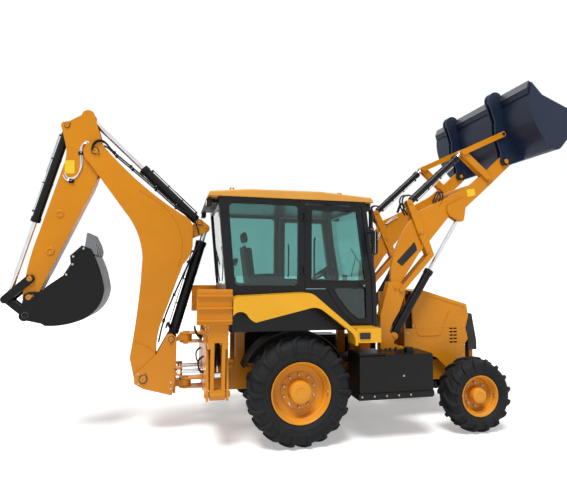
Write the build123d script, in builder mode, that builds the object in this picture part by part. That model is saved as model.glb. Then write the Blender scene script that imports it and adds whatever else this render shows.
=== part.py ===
"""Backhoe loader, modelled as an assembly of separate pieces.

+X points forward (loader), +Y to the operator's left, +Z up. Outlines are given as
(x, z) pairs in millimetres, with x measured from the rear axle line.
"""

import os
from math import cos, hypot, radians, sin, sqrt

from build123d import *

os.makedirs("parts", exist_ok=True)

# ---------------------------------------------------------------- driving dimensions
REAR_AXLE_X = -260  # rear axle line, behind the middle of the whole machine
WHEELBASE = 2413
FIT = 0.3  # clearance of parts that seat on each other
RUN = 6  # running clearance of moving plates

REAR_TYRE_R = 646
REAR_TYRE_W = 408
REAR_WHEEL_Y = 860
REAR_RIM_R = 364
FRONT_TYRE_R = 480
FRONT_TYRE_W = 360
FRONT_WHEEL_Y = 846
FRONT_RIM_R = 265
KINGPIN_Y = 600

RAIL_Y = 290
RAIL_W = 70
RAIL_BOTTOM = 560
RAIL_TOP = 840

CAB_HALF = 760
CAB_WALL = 60
CAB_FLOOR_Z = 1340
CAB_TOP_Z = 2985
GLASS = 6
DOOR_GAP = 6

ARM_Y = 545  # middle plane of each loader arm
ARM_W = 50
LEVER_T = 22
LINK_T = 18
TOWER_T = 24
LOADER_BUCKET_HALF = 1150
SHEET = 14

BOOM_W = 240
BOOM_WALL = 14
DIPPER_W = 170
POST_T = 26
EAR_T = 22
CHEEK_IN = 38  # half the opening of the backhoe's cylinder brackets
BACKHOE_BUCKET_HALF = 300

HOOD_HALF = 425
HOOD_WALL = 16

# ---------------------------------------------------------------- pivots, side view
ARM_PIVOT = (1423, 1874)
BUCKET_PIN = (3218, 3719)
LIFT_BASE = (1404, 1221)
LIFT_EYE = (2440, 2860)
MID_LEVER_PIN = (1830, 2641)
MID_LEVER_TOP = (1658, 3039)
MID_LEVER_BOTTOM = (1964, 2326)
LEVEL_LINK_BASE = (1510, 1835)
FRONT_LEVER_PIN = (2936, 3446)
FRONT_LEVER_TOP = (2508, 3804)
BUCKET_LINK_PIN = (3164, 4113)
BUCKET_HEEL = (3573, 3719)
BUCKET_TILT = 49  # floor of the loader bucket above level, degrees

SWING_X = -1320
BOOM_FOOT = (-1844, 698)
BOOM_CYL_BASE = (-1505, 1193)
BOOM_CYL_EYE = (-1092, 2649)
DIPPER_CYL_BASE = (-1172, 2724)
DIPPER_CYL_EYE = (-2624, 4077)
DIPPER_PIN = (-2519, 3605)
BUCKET_CYL_BASE = (-2869, 3918)
TIPPING_LEVER_PIN = (-3215, 1960)
TIPPING_EYE = (-3481, 1710)
HOE_PIN = (-3215, 1735)
HOE_LINK_PIN = (-3250, 1518)

STABILIZER_PIN = (-930, 665)  # (y, z) of the right leg's pivot
STABILIZER_X = -978
STABILIZER_EYE = (-915, 875)
STABILIZER_CYL_BASE = (-600, 1400)


# ---------------------------------------------------------------- construction helpers
def side(y):
    """Side-view plane at width y: local x forward from the rear axle, local y up."""
    return Plane(origin=(REAR_AXLE_X, y, 0), x_dir=(1, 0, 0), z_dir=(0, -1, 0))


def cross(x):
    """Plane across the machine at x: local x towards the left side, local y up."""
    return Plane(origin=(REAR_AXLE_X + x, 0, 0), x_dir=(0, 1, 0), z_dir=(1, 0, 0))


def level(z):
    """Horizontal plane at height z with its origin on the rear axle line."""
    return Plane(origin=(REAR_AXLE_X, 0, z), x_dir=(1, 0, 0), z_dir=(0, 0, 1))


def plate(outline, y, width, corner=0, inset=0):
    """Flat plate with a side-view outline, centred at y.

    A row is (x, z), or (x, z, via x, via z) where the edge that ends there is an arc.
    """
    with BuildPart() as body:
        with BuildSketch(side(y)) as profile:
            with BuildLine():
                start = outline[-1][:2]
                for x, z, *via in outline:
                    if via:
                        ThreePointArc(start, tuple(via), (x, z))
                    else:
                        Line(start, (x, z))
                    start = (x, z)
            make_face()
            if corner:
                fillet(profile.vertices(), corner)
            if inset:
                offset(amount=-inset)
        extrude(amount=width / 2, both=True)
    return body.part


def shifted(outline, dx, dz):
    """The same outline rows, moved by dx and dz."""
    return [tuple(v + (dx, dz)[i % 2] for i, v in enumerate(row)) for row in outline]


def slab(outline, z, height, corner=0):
    """Horizontal plate with a plan outline, from z upwards."""
    with BuildPart() as body:
        with BuildSketch(level(z)) as profile:
            Polygon(*outline, align=None)
            if corner:
                fillet(profile.vertices(), corner)
        extrude(amount=height)
    return body.part


def wall(outline, x, thickness, corner=0):
    """Transverse plate with a (y, z) outline, centred at x."""
    with BuildPart() as body:
        with BuildSketch(cross(x)) as profile:
            Polygon(*outline, align=None)
            if corner:
                fillet(profile.vertices(), corner)
        extrude(amount=thickness / 2, both=True)
    return body.part


def link(ends, y, width):
    """Plate hulled round the (point, radius) ends, centred at y."""
    with BuildPart() as body:
        with BuildSketch(side(y)):
            for centre, radius in ends:
                with Locations(centre):
                    Circle(radius)
            make_hull()
        extrude(amount=width / 2, both=True)
    return body.part


def pin(centre, y, width, radius):
    """Round pin along Y."""
    with BuildPart() as body:
        with BuildSketch(side(y)):
            with Locations(centre):
                Circle(radius)
        extrude(amount=width / 2, both=True)
    return body.part


def box(x0, x1, y0, y1, z0, z1):
    """Block between two corners, x from the rear axle."""
    with BuildPart() as body:
        with Locations((REAR_AXLE_X + (x0 + x1) / 2, (y0 + y1) / 2, (z0 + z1) / 2)):
            Box(x1 - x0, y1 - y0, z1 - z0)
    return body.part


def distance(a, b):
    return hypot(b[0] - a[0], b[1] - a[1])


def axis_plane(base, eye, y, along):
    """Plane square to the line from base to eye, at a distance along it."""
    ux = (eye[0] - base[0]) / distance(base, eye)
    uz = (eye[1] - base[1]) / distance(base, eye)
    origin = (REAR_AXLE_X + base[0] + ux * along, y, base[1] + uz * along)
    return Plane(origin=origin, x_dir=(0, 1, 0), z_dir=(ux, 0, uz))


def ram_barrel(base, eye, y, length, tube_r, rod_r, eye_r, eye_w, pin_r):
    """Cylinder barrel that turns on its base pin; its gland end is bored for the rod."""
    start = eye_r + 14
    with BuildPart() as body:
        with BuildSketch(side(y)):
            with Locations(base):
                Circle(eye_r)
        extrude(amount=eye_w / 2, both=True)
        with BuildSketch(axis_plane(base, eye, y, 0)):
            Rectangle(eye_w, eye_r * 1.5)
        extrude(amount=start + 6)
        with BuildSketch(axis_plane(base, eye, y, start)):
            Circle(tube_r)
        extrude(amount=length - start)
        with BuildSketch(axis_plane(base, eye, y, length - 60)):
            Circle(tube_r + 7)
        extrude(amount=60)
        with BuildSketch(axis_plane(base, eye, y, start + 20)):
            Circle(rod_r + FIT)
        extrude(amount=length, mode=Mode.SUBTRACT)
        with BuildSketch(side(y)):
            with Locations(base):
                Circle(pin_r + FIT)
        extrude(amount=eye_w, both=True, mode=Mode.SUBTRACT)
    return body.part


def ram_rod(base, eye, y, inner, rod_r, eye_r, eye_w):
    """Piston rod from its inner end to the closed eye at the far pin."""
    reach = distance(base, eye)
    with BuildPart() as body:
        with BuildSketch(axis_plane(base, eye, y, inner)):
            Circle(rod_r)
        extrude(amount=reach - inner - eye_r * 0.6)
        with BuildSketch(side(y)):
            with Locations(eye):
                Circle(eye_r)
        extrude(amount=eye_w / 2, both=True)
    return body.part


def finish(part, name):
    """Label a finished piece and write its file."""
    part.label = name
    export_step(part, f"parts/{name}.step")


# ---------------------------------------------------------------- wheels
LUG_H = 30
LUG_W = 52
REAR_LUGS = 18
FRONT_LUGS = 16


def tyre(radius, width, rim_r, y, x, z, lugs):
    """Bar-lug tyre: carcass turned about the axle, with slanting lugs in two rows."""
    body_r = radius - LUG_H
    half = width / 2
    bead = half * 0.8 - 14 - FIT
    lean = LUG_W * 1.15
    lug_top = sqrt(radius**2 - (lean + LUG_W / 2) ** 2)  # its corners lie on the radius
    lug_foot = body_r - 62
    spin = Plane(origin=(REAR_AXLE_X + x, y, z), x_dir=(0, 1, 0), z_dir=(1, 0, 0))
    with BuildPart() as body:
        with BuildSketch(spin):
            with BuildLine():
                Polyline(
                    (-bead, rim_r - 12),
                    (-bead, rim_r + 4),
                    (-half * 0.97, rim_r + 70),
                    (-half * 0.93, body_r - 70),
                    (-half * 0.72, body_r - 8),
                    (0, body_r),
                    (half * 0.72, body_r - 8),
                    (half * 0.93, body_r - 70),
                    (half * 0.97, rim_r + 70),
                    (bead, rim_r + 4),
                    (bead, rim_r - 12),
                    close=True,
                )
            make_face()
        revolve(axis=Axis((REAR_AXLE_X + x, y, z), (0, 1, 0)), revolution_arc=360)
        for row in (-1, 1):
            for turn in range(lugs):
                angle = 360 / lugs * (turn + (0.25 if row > 0 else -0.25))
                out = Vector(sin(radians(angle)), 0, cos(radians(angle)))
                foot = Vector(REAR_AXLE_X + x, y, z) + out * lug_foot
                with BuildSketch(Plane(origin=foot, x_dir=(0, 1, 0), z_dir=tuple(out))):
                    with BuildLine():
                        Polyline(
                            (row * half, -lean - LUG_W / 2),
                            (row * half, -lean + LUG_W / 2),
                            (row * half * 0.06, lean + LUG_W / 2),
                            (row * half * 0.06, lean - LUG_W / 2),
                            close=True,
                        )
                    make_face()
                extrude(amount=lug_top - lug_foot)
    return body.part


def rim(rim_r, width, y, x, z, outward, hub_r, disc_at, hub_out):
    """Welded disc wheel; distances along the axle run outward from the wheel's middle."""
    half = width / 2
    spin = Plane(
        origin=(REAR_AXLE_X + x, y, z), x_dir=(0, outward, 0), z_dir=(outward, 0, 0)
    )
    with BuildPart() as body:
        with BuildSketch(spin):
            with BuildLine():
                Polyline(
                    (half * 0.80, rim_r),
                    (half * 0.80 - 14, rim_r),
                    (half * 0.80 - 14, rim_r - 12 - FIT),
                    (-half * 0.80 + 14, rim_r - 12 - FIT),
                    (-half * 0.80 + 14, rim_r),
                    (-half * 0.80, rim_r),
                    (-half * 0.80, rim_r - 30),
                    (disc_at - 16, rim_r - 40),
                    (disc_at - 16, 0),
                    (hub_out, 0),
                    (hub_out, hub_r * 0.8),
                    (hub_out - 25, hub_r),
                    (disc_at + 6, hub_r * 1.1),
                    (disc_at, rim_r - 70),
                    (disc_at + 30, rim_r - 34),
                    (half * 0.80, rim_r - 24),
                    close=True,
                )
            make_face()
        revolve(axis=Axis((REAR_AXLE_X + x, y, z), (0, 1, 0)), revolution_arc=360)
    return body.part


WHEELS = (
    # name, x, tyre radius, tyre width, rim radius, y, hub radius, disc, hub face, lugs
    ("rear", 0, REAR_TYRE_R, REAR_TYRE_W, REAR_RIM_R, REAR_WHEEL_Y, 138, 20, 150, REAR_LUGS),
    ("front", WHEELBASE, FRONT_TYRE_R, FRONT_TYRE_W, FRONT_RIM_R, FRONT_WHEEL_Y, 108, 0, 140,
     FRONT_LUGS),
)
for name, x, tyre_r, tyre_w, rim_r, wheel_y, hub_r, disc_at, hub_out, lugs in WHEELS:
    for hand, sign in (("right", -1), ("left", 1)):
        finish(
            tyre(tyre_r, tyre_w, rim_r, sign * wheel_y, x, tyre_r, lugs), f"tyre_{name}_{hand}"
        )
        finish(
            rim(rim_r, tyre_w, sign * wheel_y, x, tyre_r, sign, hub_r, disc_at, hub_out),
            f"wheel_{name}_{hand}",
        )

# ---------------------------------------------------------------- axles and knuckles
REAR_HUB_Y = REAR_WHEEL_Y + 20 - 16  # inner face of the rear wheel disc
FRONT_HUB_Y = FRONT_WHEEL_Y - 16
AXLE_R = 95
AXLE_END = KINGPIN_Y - 75
AXLE_HEAD_H = 75
KINGPIN_BOSS_R = 45
KINGPIN_R = 22
with BuildPart() as axles:
    # rear axle with its differential and hubs
    across = Plane(origin=(REAR_AXLE_X, 0, REAR_TYRE_R), x_dir=(1, 0, 0), z_dir=(0, 1, 0))
    with BuildSketch(across):
        Circle(AXLE_R)
    extrude(amount=REAR_HUB_Y - FIT, both=True)
    with BuildSketch(across):
        Circle(190)
    extrude(amount=150, both=True)
    with BuildSketch(across.offset(REAR_HUB_Y - FIT - 110)):
        Circle(165)
    extrude(amount=110)
    mirror(about=Plane.XZ)
    # seats under the two frame rails
    for sign in (-1, 1):
        y = sign * RAIL_Y
        y0, y1 = y - RAIL_W / 2, y + RAIL_W / 2
        add(box(-120, 120, y0, y1, REAR_TYRE_R, REAR_TYRE_R + AXLE_R + 5))
    # front axle with its differential
    across = Plane(
        origin=(REAR_AXLE_X + WHEELBASE, 0, FRONT_TYRE_R), x_dir=(1, 0, 0), z_dir=(0, 1, 0)
    )
    with BuildSketch(across):
        Circle(80)
    extrude(amount=AXLE_END, both=True)
    with BuildSketch(across.offset(60)):
        Circle(150)
    extrude(amount=190)
    for sign in (-1, 1):
        # square end that narrows to the round kingpin boss
        with BuildSketch(across.offset(sign * (AXLE_END - 20))):
            RectangleRounded(2 * AXLE_HEAD_H, 2 * AXLE_HEAD_H, 30)
        extrude(amount=sign * (KINGPIN_Y - AXLE_END))
        with Locations((REAR_AXLE_X + WHEELBASE, sign * KINGPIN_Y, FRONT_TYRE_R)):
            Cylinder(KINGPIN_BOSS_R, 2 * AXLE_HEAD_H)
    # oscillation trunnions up to the frame
    for x in (WHEELBASE - 140, WHEELBASE + 140):
        add(box(x - 25, x + 25, -110, 110, FRONT_TYRE_R - 20, RAIL_BOTTOM))
    add(box(WHEELBASE - 165, WHEELBASE + 165, -90, 90, FRONT_TYRE_R - 60, FRONT_TYRE_R + 60))
    # steering cylinder behind the housing
    with BuildSketch(Plane(origin=(REAR_AXLE_X + WHEELBASE - 150, 0, FRONT_TYRE_R),
                           x_dir=(1, 0, 0), z_dir=(0, 1, 0))):
        Circle(36)
    extrude(amount=250, both=True)
    # kingpin bores
    for sign in (-1, 1):
        with Locations((REAR_AXLE_X + WHEELBASE, sign * KINGPIN_Y, FRONT_TYRE_R)):
            Cylinder(KINGPIN_R + FIT, 400, mode=Mode.SUBTRACT)
finish(axles.part, "axles")

YOKE_H = 108  # half height of the knuckle's yoke
for hand, sign in (("right", -1), ("left", 1)):
    with BuildPart() as knuckle:
        kx = WHEELBASE
        zc = FRONT_TYRE_R
        y_in = sign * (KINGPIN_Y - 60)
        y_web = sign * (KINGPIN_Y + KINGPIN_BOSS_R + RUN)
        y_flange = sign * (KINGPIN_Y + 95)
        y_hub = sign * (FRONT_HUB_Y - FIT)
        yoke_z = AXLE_HEAD_H + RUN
        for z0, z1 in ((zc + yoke_z, zc + YOKE_H), (zc - YOKE_H, zc - yoke_z)):
            add(box(kx - 50, kx + 50, min(y_in, y_flange), max(y_in, y_flange), z0, z1))
        add(box(kx - 50, kx + 50, *sorted((y_web, y_flange)), zc - YOKE_H, zc + YOKE_H))
        with Locations((REAR_AXLE_X + kx, sign * KINGPIN_Y, zc)):
            Cylinder(KINGPIN_R, 2 * YOKE_H + 20)
        hub = Plane(origin=(REAR_AXLE_X + kx, y_web, zc), x_dir=(1, 0, 0), z_dir=(0, sign, 0))
        with BuildSketch(hub):
            Circle(100)
        extrude(amount=abs(y_hub - y_web))
        # steering arm towards the rear
        add(box(kx - 170, kx - 40, min(y_web, y_flange), max(y_web, y_flange), zc - 25, zc + 25))
    finish(knuckle.part, f"knuckle_{hand}")

# ---------------------------------------------------------------- main frame and towers
PLATE_T = 25
REAR_PLATE_X = -1092
FRONT_PLATE_X = -864
FRAME_REAR = FRONT_PLATE_X + PLATE_T / 2
FRAME_FRONT = 2780
TOWER_IN = ARM_Y - ARM_W / 2 - RUN - TOWER_T / 2
TOWER_OUT = ARM_Y + ARM_W / 2 + RUN + TOWER_T / 2
LEVER_OFF = ARM_W / 2 + RUN + LEVER_T / 2  # levers on both faces of the arm
LINK_OFF = LEVER_OFF + LEVER_T / 2 + RUN + LINK_T / 2  # links outside the levers
STUB_R = 16
STUB_L = LINK_OFF + LINK_T / 2 + 6 - ARM_W / 2 - RUN
STUB_OFF = ARM_W / 2 + RUN + STUB_L / 2
ARM_PIN_R = 28
RAM_PIN_R = 24
TOWER_OUTLINE = [(1200, RAIL_TOP), (1200, 1500), (1330, 1940), (1400, 1960), (1520, 1930),
                 (1570, 1800), (1480, 1560), (1375, 1400), (1335, 1290), (1400, 1120),
                 (1500, 1080), (1540, RAIL_TOP)]
with BuildPart() as main_frame:
    for sign in (-1, 1):
        y = sign * RAIL_Y
        add(box(FRAME_REAR, FRAME_FRONT, y - RAIL_W / 2, y + RAIL_W / 2, RAIL_BOTTOM, RAIL_TOP))
        # posts that carry the cab
        for x in (-640, 960):
            y0, y1 = y - RAIL_W / 2, y + RAIL_W / 2
            add(box(x - 60, x + 60, y0, y1, RAIL_TOP, CAB_FLOOR_Z - FIT))
        # bracket plate that carries the loader tower
        y0, y1 = sorted((sign * (RAIL_Y + 30), sign * (TOWER_OUT + TOWER_T / 2)))
        add(box(1180, 1560, y0, y1, RAIL_TOP - 120, RAIL_TOP))
    for x in (-420, 540, 2560):
        add(box(x, x + 60, -RAIL_Y, RAIL_Y, RAIL_BOTTOM + 20, RAIL_TOP - 30))
    # arches over the rear axle
    add(box(-150, 150, -400, 400, 500, REAR_TYRE_R + AXLE_R + 5), mode=Mode.SUBTRACT)
    # front bumper casting
    add(box(FRAME_FRONT - 60, FRAME_FRONT, -RAIL_Y - 35, RAIL_Y + 35, RAIL_BOTTOM, 960))
    # loader towers
    for y in (TOWER_IN, TOWER_OUT):
        add(plate(TOWER_OUTLINE, -y, TOWER_T))
        add(link([(LIFT_BASE, 50), ((1320, 1180), 60)], -y, TOWER_T))
    # rear web closes the tower behind the arm and the lift cylinder
    add(box(1200, 1225, -TOWER_OUT, -TOWER_IN, RAIL_TOP, 1500))
    add(box(1200, 1540, -TOWER_OUT, -TOWER_IN, RAIL_TOP, 1080))
    for centre, radius in ((ARM_PIVOT, ARM_PIN_R), (LIFT_BASE, RAM_PIN_R)):
        add(pin(centre, -ARM_Y, TOWER_OUT - TOWER_IN + TOWER_T + 24, radius))
    for off in (-STUB_OFF, STUB_OFF):
        add(pin(LEVEL_LINK_BASE, -ARM_Y + off, STUB_L, STUB_R))
    mirror(about=Plane.XZ)
finish(main_frame.part, "main_frame")


# ---------------------------------------------------------------- loader linkage
EYE_W = ARM_W + 2
ARM_OUTLINE = [(1366, 1876, 1423, 1816), (1376, 2125), (1790, 2920, 1545, 2590), (2185, 3103),
               (2641, 3348), (2950, 3600), (3150, 3780), (3290, 3660, 3268, 3770), (2933, 3342),
               (2561, 3023), (2300, 2900, 2440, 2978), (1967, 2522), (1790, 2330), (1478, 1868)]
CHEEK_T = 20
CHEEK_OFF = EYE_W / 2 + 3 + CHEEK_T / 2
with BuildPart() as loader_arms:
    add(plate(ARM_OUTLINE, -ARM_Y, ARM_W))
    add(pin(ARM_PIVOT, -ARM_Y, ARM_W, 55))
    add(pin(BUCKET_PIN, -ARM_Y, ARM_W, 78))
    # cheeks that take the lift cylinder's rod eye
    for off in (-CHEEK_OFF, CHEEK_OFF):
        add(link([(LIFT_EYE, 62), ((2330, 2960), 95), ((2490, 3090), 50)], -ARM_Y + off, CHEEK_T))
    add(link([((2350, 3000), 50), ((2490, 3090), 42)], -ARM_Y, 2 * CHEEK_OFF))
    add(link([(LIFT_EYE, 72), ((2440, 2600), 90)], -ARM_Y, EYE_W + 6), mode=Mode.SUBTRACT)
    add(pin(ARM_PIVOT, -ARM_Y, 200, ARM_PIN_R + FIT), mode=Mode.SUBTRACT)
    # pins carried by the arm
    add(pin(MID_LEVER_PIN, -ARM_Y, ARM_W + 2 * (RUN + LEVER_T) + 16, 30))
    add(pin(FRONT_LEVER_PIN, -ARM_Y, ARM_W + 2 * (RUN + LEVER_T) + 16, 26))
    add(pin(BUCKET_PIN, -ARM_Y, ARM_W + 2 * (RUN + LEVER_T) + 16, 30))
    mirror(about=Plane.XZ)
    # cross tube between the arms
    add(pin((2740, 3300), 0, 2 * ARM_Y, 72))
finish(loader_arms.part, "loader_arms")

with BuildPart() as mid_levers:
    for off in (-LEVER_OFF, LEVER_OFF):
        add(link([(MID_LEVER_TOP, 42), (MID_LEVER_PIN, 62)], -ARM_Y + off, LEVER_T))
        add(link([(MID_LEVER_PIN, 62), (MID_LEVER_BOTTOM, 44)], -ARM_Y + off, LEVER_T))
    add(pin(MID_LEVER_PIN, -ARM_Y, 300, 30 + FIT), mode=Mode.SUBTRACT)
    add(pin(MID_LEVER_TOP, -ARM_Y, 2 * LEVER_OFF + LEVER_T + 16, RAM_PIN_R))
    mirror(about=Plane.XZ)
finish(mid_levers.part, "mid_levers")

with BuildPart() as level_links:
    for off in (-LINK_OFF, LINK_OFF):
        add(link([(LEVEL_LINK_BASE, 32), (MID_LEVER_BOTTOM, 32)], -ARM_Y + off, LINK_T))
    add(pin(LEVEL_LINK_BASE, -ARM_Y, 200, STUB_R + FIT), mode=Mode.SUBTRACT)
    mirror(about=Plane.XZ)
finish(level_links.part, "level_links")

with BuildPart() as front_levers:
    for off in (-LEVER_OFF, LEVER_OFF):
        add(link([(FRONT_LEVER_PIN, 50), (FRONT_LEVER_TOP, 46)], -ARM_Y + off, LEVER_T))
    add(pin(FRONT_LEVER_PIN, -ARM_Y, 300, 26 + FIT), mode=Mode.SUBTRACT)
    mirror(about=Plane.XZ)
finish(front_levers.part, "front_levers")

with BuildPart() as bucket_links:
    for off in (-LINK_OFF, LINK_OFF):
        add(link([(FRONT_LEVER_TOP, 40), (BUCKET_LINK_PIN, 40)], -ARM_Y + off, LINK_T))
    add(pin(BUCKET_LINK_PIN, -ARM_Y, 300, 24 + FIT), mode=Mode.SUBTRACT)
    mirror(about=Plane.XZ)
finish(bucket_links.part, "bucket_links")

LIFT_BARREL = 1048
TILT_BARREL = 1030
with BuildPart() as lift_barrels:
    add(ram_barrel(LIFT_BASE, LIFT_EYE, -ARM_Y, LIFT_BARREL, 56, 29, 48, EYE_W, RAM_PIN_R))
    mirror(about=Plane.XZ)
finish(lift_barrels.part, "lift_barrels")
with BuildPart() as lift_rods:
    add(ram_rod(LIFT_BASE, LIFT_EYE, -ARM_Y, 890, 29, 48, EYE_W))
    mirror(about=Plane.XZ)
finish(lift_rods.part, "lift_rods")
with BuildPart() as tilt_barrels:
    add(ram_barrel(MID_LEVER_TOP, FRONT_LEVER_TOP, -ARM_Y, TILT_BARREL, 48, 25, 40, EYE_W,
                   RAM_PIN_R))
    mirror(about=Plane.XZ)
finish(tilt_barrels.part, "tilt_barrels")
with BuildPart() as tilt_rods:
    add(ram_rod(MID_LEVER_TOP, FRONT_LEVER_TOP, -ARM_Y, 90, 25, 40, EYE_W))
    mirror(about=Plane.XZ)
finish(tilt_rods.part, "tilt_rods")


def in_bucket(row):
    """Outline row given in the loader bucket's own frame, floor level, heel at 0, 0."""
    c, s = cos(radians(BUCKET_TILT)), sin(radians(BUCKET_TILT))
    placed = ()
    for x, z in zip(row[::2], row[1::2]):
        placed += (BUCKET_HEEL[0] + x * c - z * s, BUCKET_HEEL[1] + x * s + z * c)
    return placed


SIDE_SHEET = 20
BUCKET_SHELL = [(712, 0), (110, 0), (0, 130, 34, 36), (481, 921, 120, 590), (465, 687),
                (622, 264)]
BUCKET_ROOM = [(900, SHEET), (112, SHEET), (SHEET + 1, 132, 46, 46), (488, 907, 133, 582),
               (520, 938), (700, 900)]
BUCKET_EDGE = [(670, -16), (760, -2), (760, 4), (670, 0)]
BUCKET_RIB = [(-233, 190), (-310, 250), (-300, 330, -318, 292), (-190, 420), (-60, 640),
              (60, 760), (190, 760), (110, 520), (5, 150), (10, 60)]
LIP_BOX = [(330, 846), (368, 904), (481, 948), (481, 921), (420, 888)]
SIDE_CUTTER = [(712, 0), (600, 0), (520, 264), (420, 660), (430, 700), (465, 687), (622, 264)]
RIB_HEAD = (350, 975)
RIB_HEAD_R = 118
with BuildPart() as loader_bucket:
    add(plate([in_bucket(row) for row in BUCKET_SHELL], 0, 2 * LOADER_BUCKET_HALF))
    add(plate([in_bucket(row) for row in BUCKET_EDGE], 0, 2 * LOADER_BUCKET_HALF))
    for sign in (-1, 1):
        # hinge ribs with a round head at the lip
        for off in (-LEVER_OFF, LEVER_OFF):
            add(plate([in_bucket(row) for row in BUCKET_RIB], sign * ARM_Y + off, LEVER_T))
            head = [(in_bucket(RIB_HEAD), RIB_HEAD_R), (in_bucket((110, 690)), 60)]
            add(link(head, sign * ARM_Y + off, LEVER_T))
        add(pin(in_bucket(RIB_HEAD), sign * ARM_Y, 2 * LEVER_OFF, RIB_HEAD_R - 12))
        # wear strip along the mouth edge
        wear_y = sign * (LOADER_BUCKET_HALF - SIDE_SHEET / 2 - 3)
        add(plate([in_bucket(row) for row in SIDE_CUTTER], wear_y, SIDE_SHEET + 6))
    # stiffener behind the lip
    add(plate([in_bucket(row) for row in LIP_BOX], 0, 2 * LOADER_BUCKET_HALF - 40))
    add(plate([in_bucket(row) for row in BUCKET_ROOM], 0, 2 * (LOADER_BUCKET_HALF - SIDE_SHEET)),
        mode=Mode.SUBTRACT)
    for sign in (-1, 1):
        add(pin(BUCKET_PIN, sign * ARM_Y, 300, 30 + FIT), mode=Mode.SUBTRACT)
        add(pin(BUCKET_LINK_PIN, sign * ARM_Y, 2 * LINK_OFF + LINK_T + 12, 24))
finish(loader_bucket.part, "loader_bucket")

# ---------------------------------------------------------------- rear frame
RAM_LEVEL = 790  # height of the two swing cylinders
SWING_RAM_Y = 200
SWING_EYE_X = -1395
SWING_TUBE_R = 52
SWING_ROD_R = 28
KING_R = 40
with BuildPart() as rear_frame:
    wall_outline = [(-985, 600), (-985, 720), (-870, 1150), (-690, 1150), (-690, 1450),
                    (-560, 1450), (-500, 1150), (500, 1150), (560, 1450), (690, 1450),
                    (690, 1150), (870, 1150), (985, 720), (985, 600)]
    for x in (REAR_PLATE_X, FRONT_PLATE_X):
        add(wall(wall_outline, x, PLATE_T))
    for z in (600, 1125):
        add(box(REAR_PLATE_X, FRONT_PLATE_X, -480, 480, z, z + PLATE_T))
    for y in (-480, 455):
        add(box(REAR_PLATE_X, FRONT_PLATE_X, y, y + PLATE_T, 600, 1150))
    # windows for the swing cylinders
    for sign in (-1, 1):
        y = sign * SWING_RAM_Y
        add(box(-1200, -700, y - 125, y + 110, RAM_LEVEL - 85, RAM_LEVEL + 85), mode=Mode.SUBTRACT)
    # lugs that carry the swing post
    for z in (1130, 1240, 545, 655):
        lug = [(-1092, -110), (-1320, -80), (-1320, 80), (-1092, 110)]
        add(slab(lug, z, 22))
        with Locations((REAR_AXLE_X + SWING_X, 0, z + 11)):
            Cylinder(80, 22)
    add(box(-1105, -1080, -240, 240, 1130, 1262))
    add(box(-1105, -1080, -240, 240, 545, 700))
    for z0, z1 in ((1110, 1275), (530, 690)):
        with Locations((REAR_AXLE_X + SWING_X, 0, (z0 + z1) / 2)):
            Cylinder(KING_R, z1 - z0)
    # pins of the stabilizers and their cylinders, along X
    mid_x = (REAR_PLATE_X + FRONT_PLATE_X) / 2
    span = FRONT_PLATE_X - REAR_PLATE_X + PLATE_T + 40
    for sign in (-1, 1):
        for (y, z), radius in ((STABILIZER_PIN, 34), (STABILIZER_CYL_BASE, 20)):
            with BuildSketch(cross(mid_x)):
                with Locations((sign * -y, z)):
                    Circle(radius)
            extrude(amount=span / 2, both=True)
    # swing cylinders on blocks bolted between the frame plates
    for sign in (-1, 1):
        with BuildSketch(cross(-1110)):
            with Locations((sign * SWING_RAM_Y, RAM_LEVEL)):
                Circle(SWING_TUBE_R)
        extrude(amount=590)
        y = sign * SWING_RAM_Y
        add(box(REAR_PLATE_X + 5, FRONT_PLATE_X - 5, y - 45, y + 45, RAM_LEVEL - 170, RAM_LEVEL))
    for sign in (-1, 1):
        with BuildSketch(cross(-1110)):
            with Locations((sign * SWING_RAM_Y, RAM_LEVEL)):
                Circle(SWING_ROD_R + FIT)
        extrude(amount=570, mode=Mode.SUBTRACT)
finish(rear_frame.part, "rear_frame")


for hand, sign in (("right", -1), ("left", 1)):
    with BuildPart() as swing_rod:
        with BuildSketch(cross(SWING_EYE_X)):
            with Locations((sign * SWING_RAM_Y, RAM_LEVEL)):
                Circle(SWING_ROD_R)
        extrude(amount=580)
        with Locations((REAR_AXLE_X + SWING_EYE_X, sign * SWING_RAM_Y, RAM_LEVEL)):
            Cylinder(38, 60)
    finish(swing_rod.part, f"swing_rod_{hand}")

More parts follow.
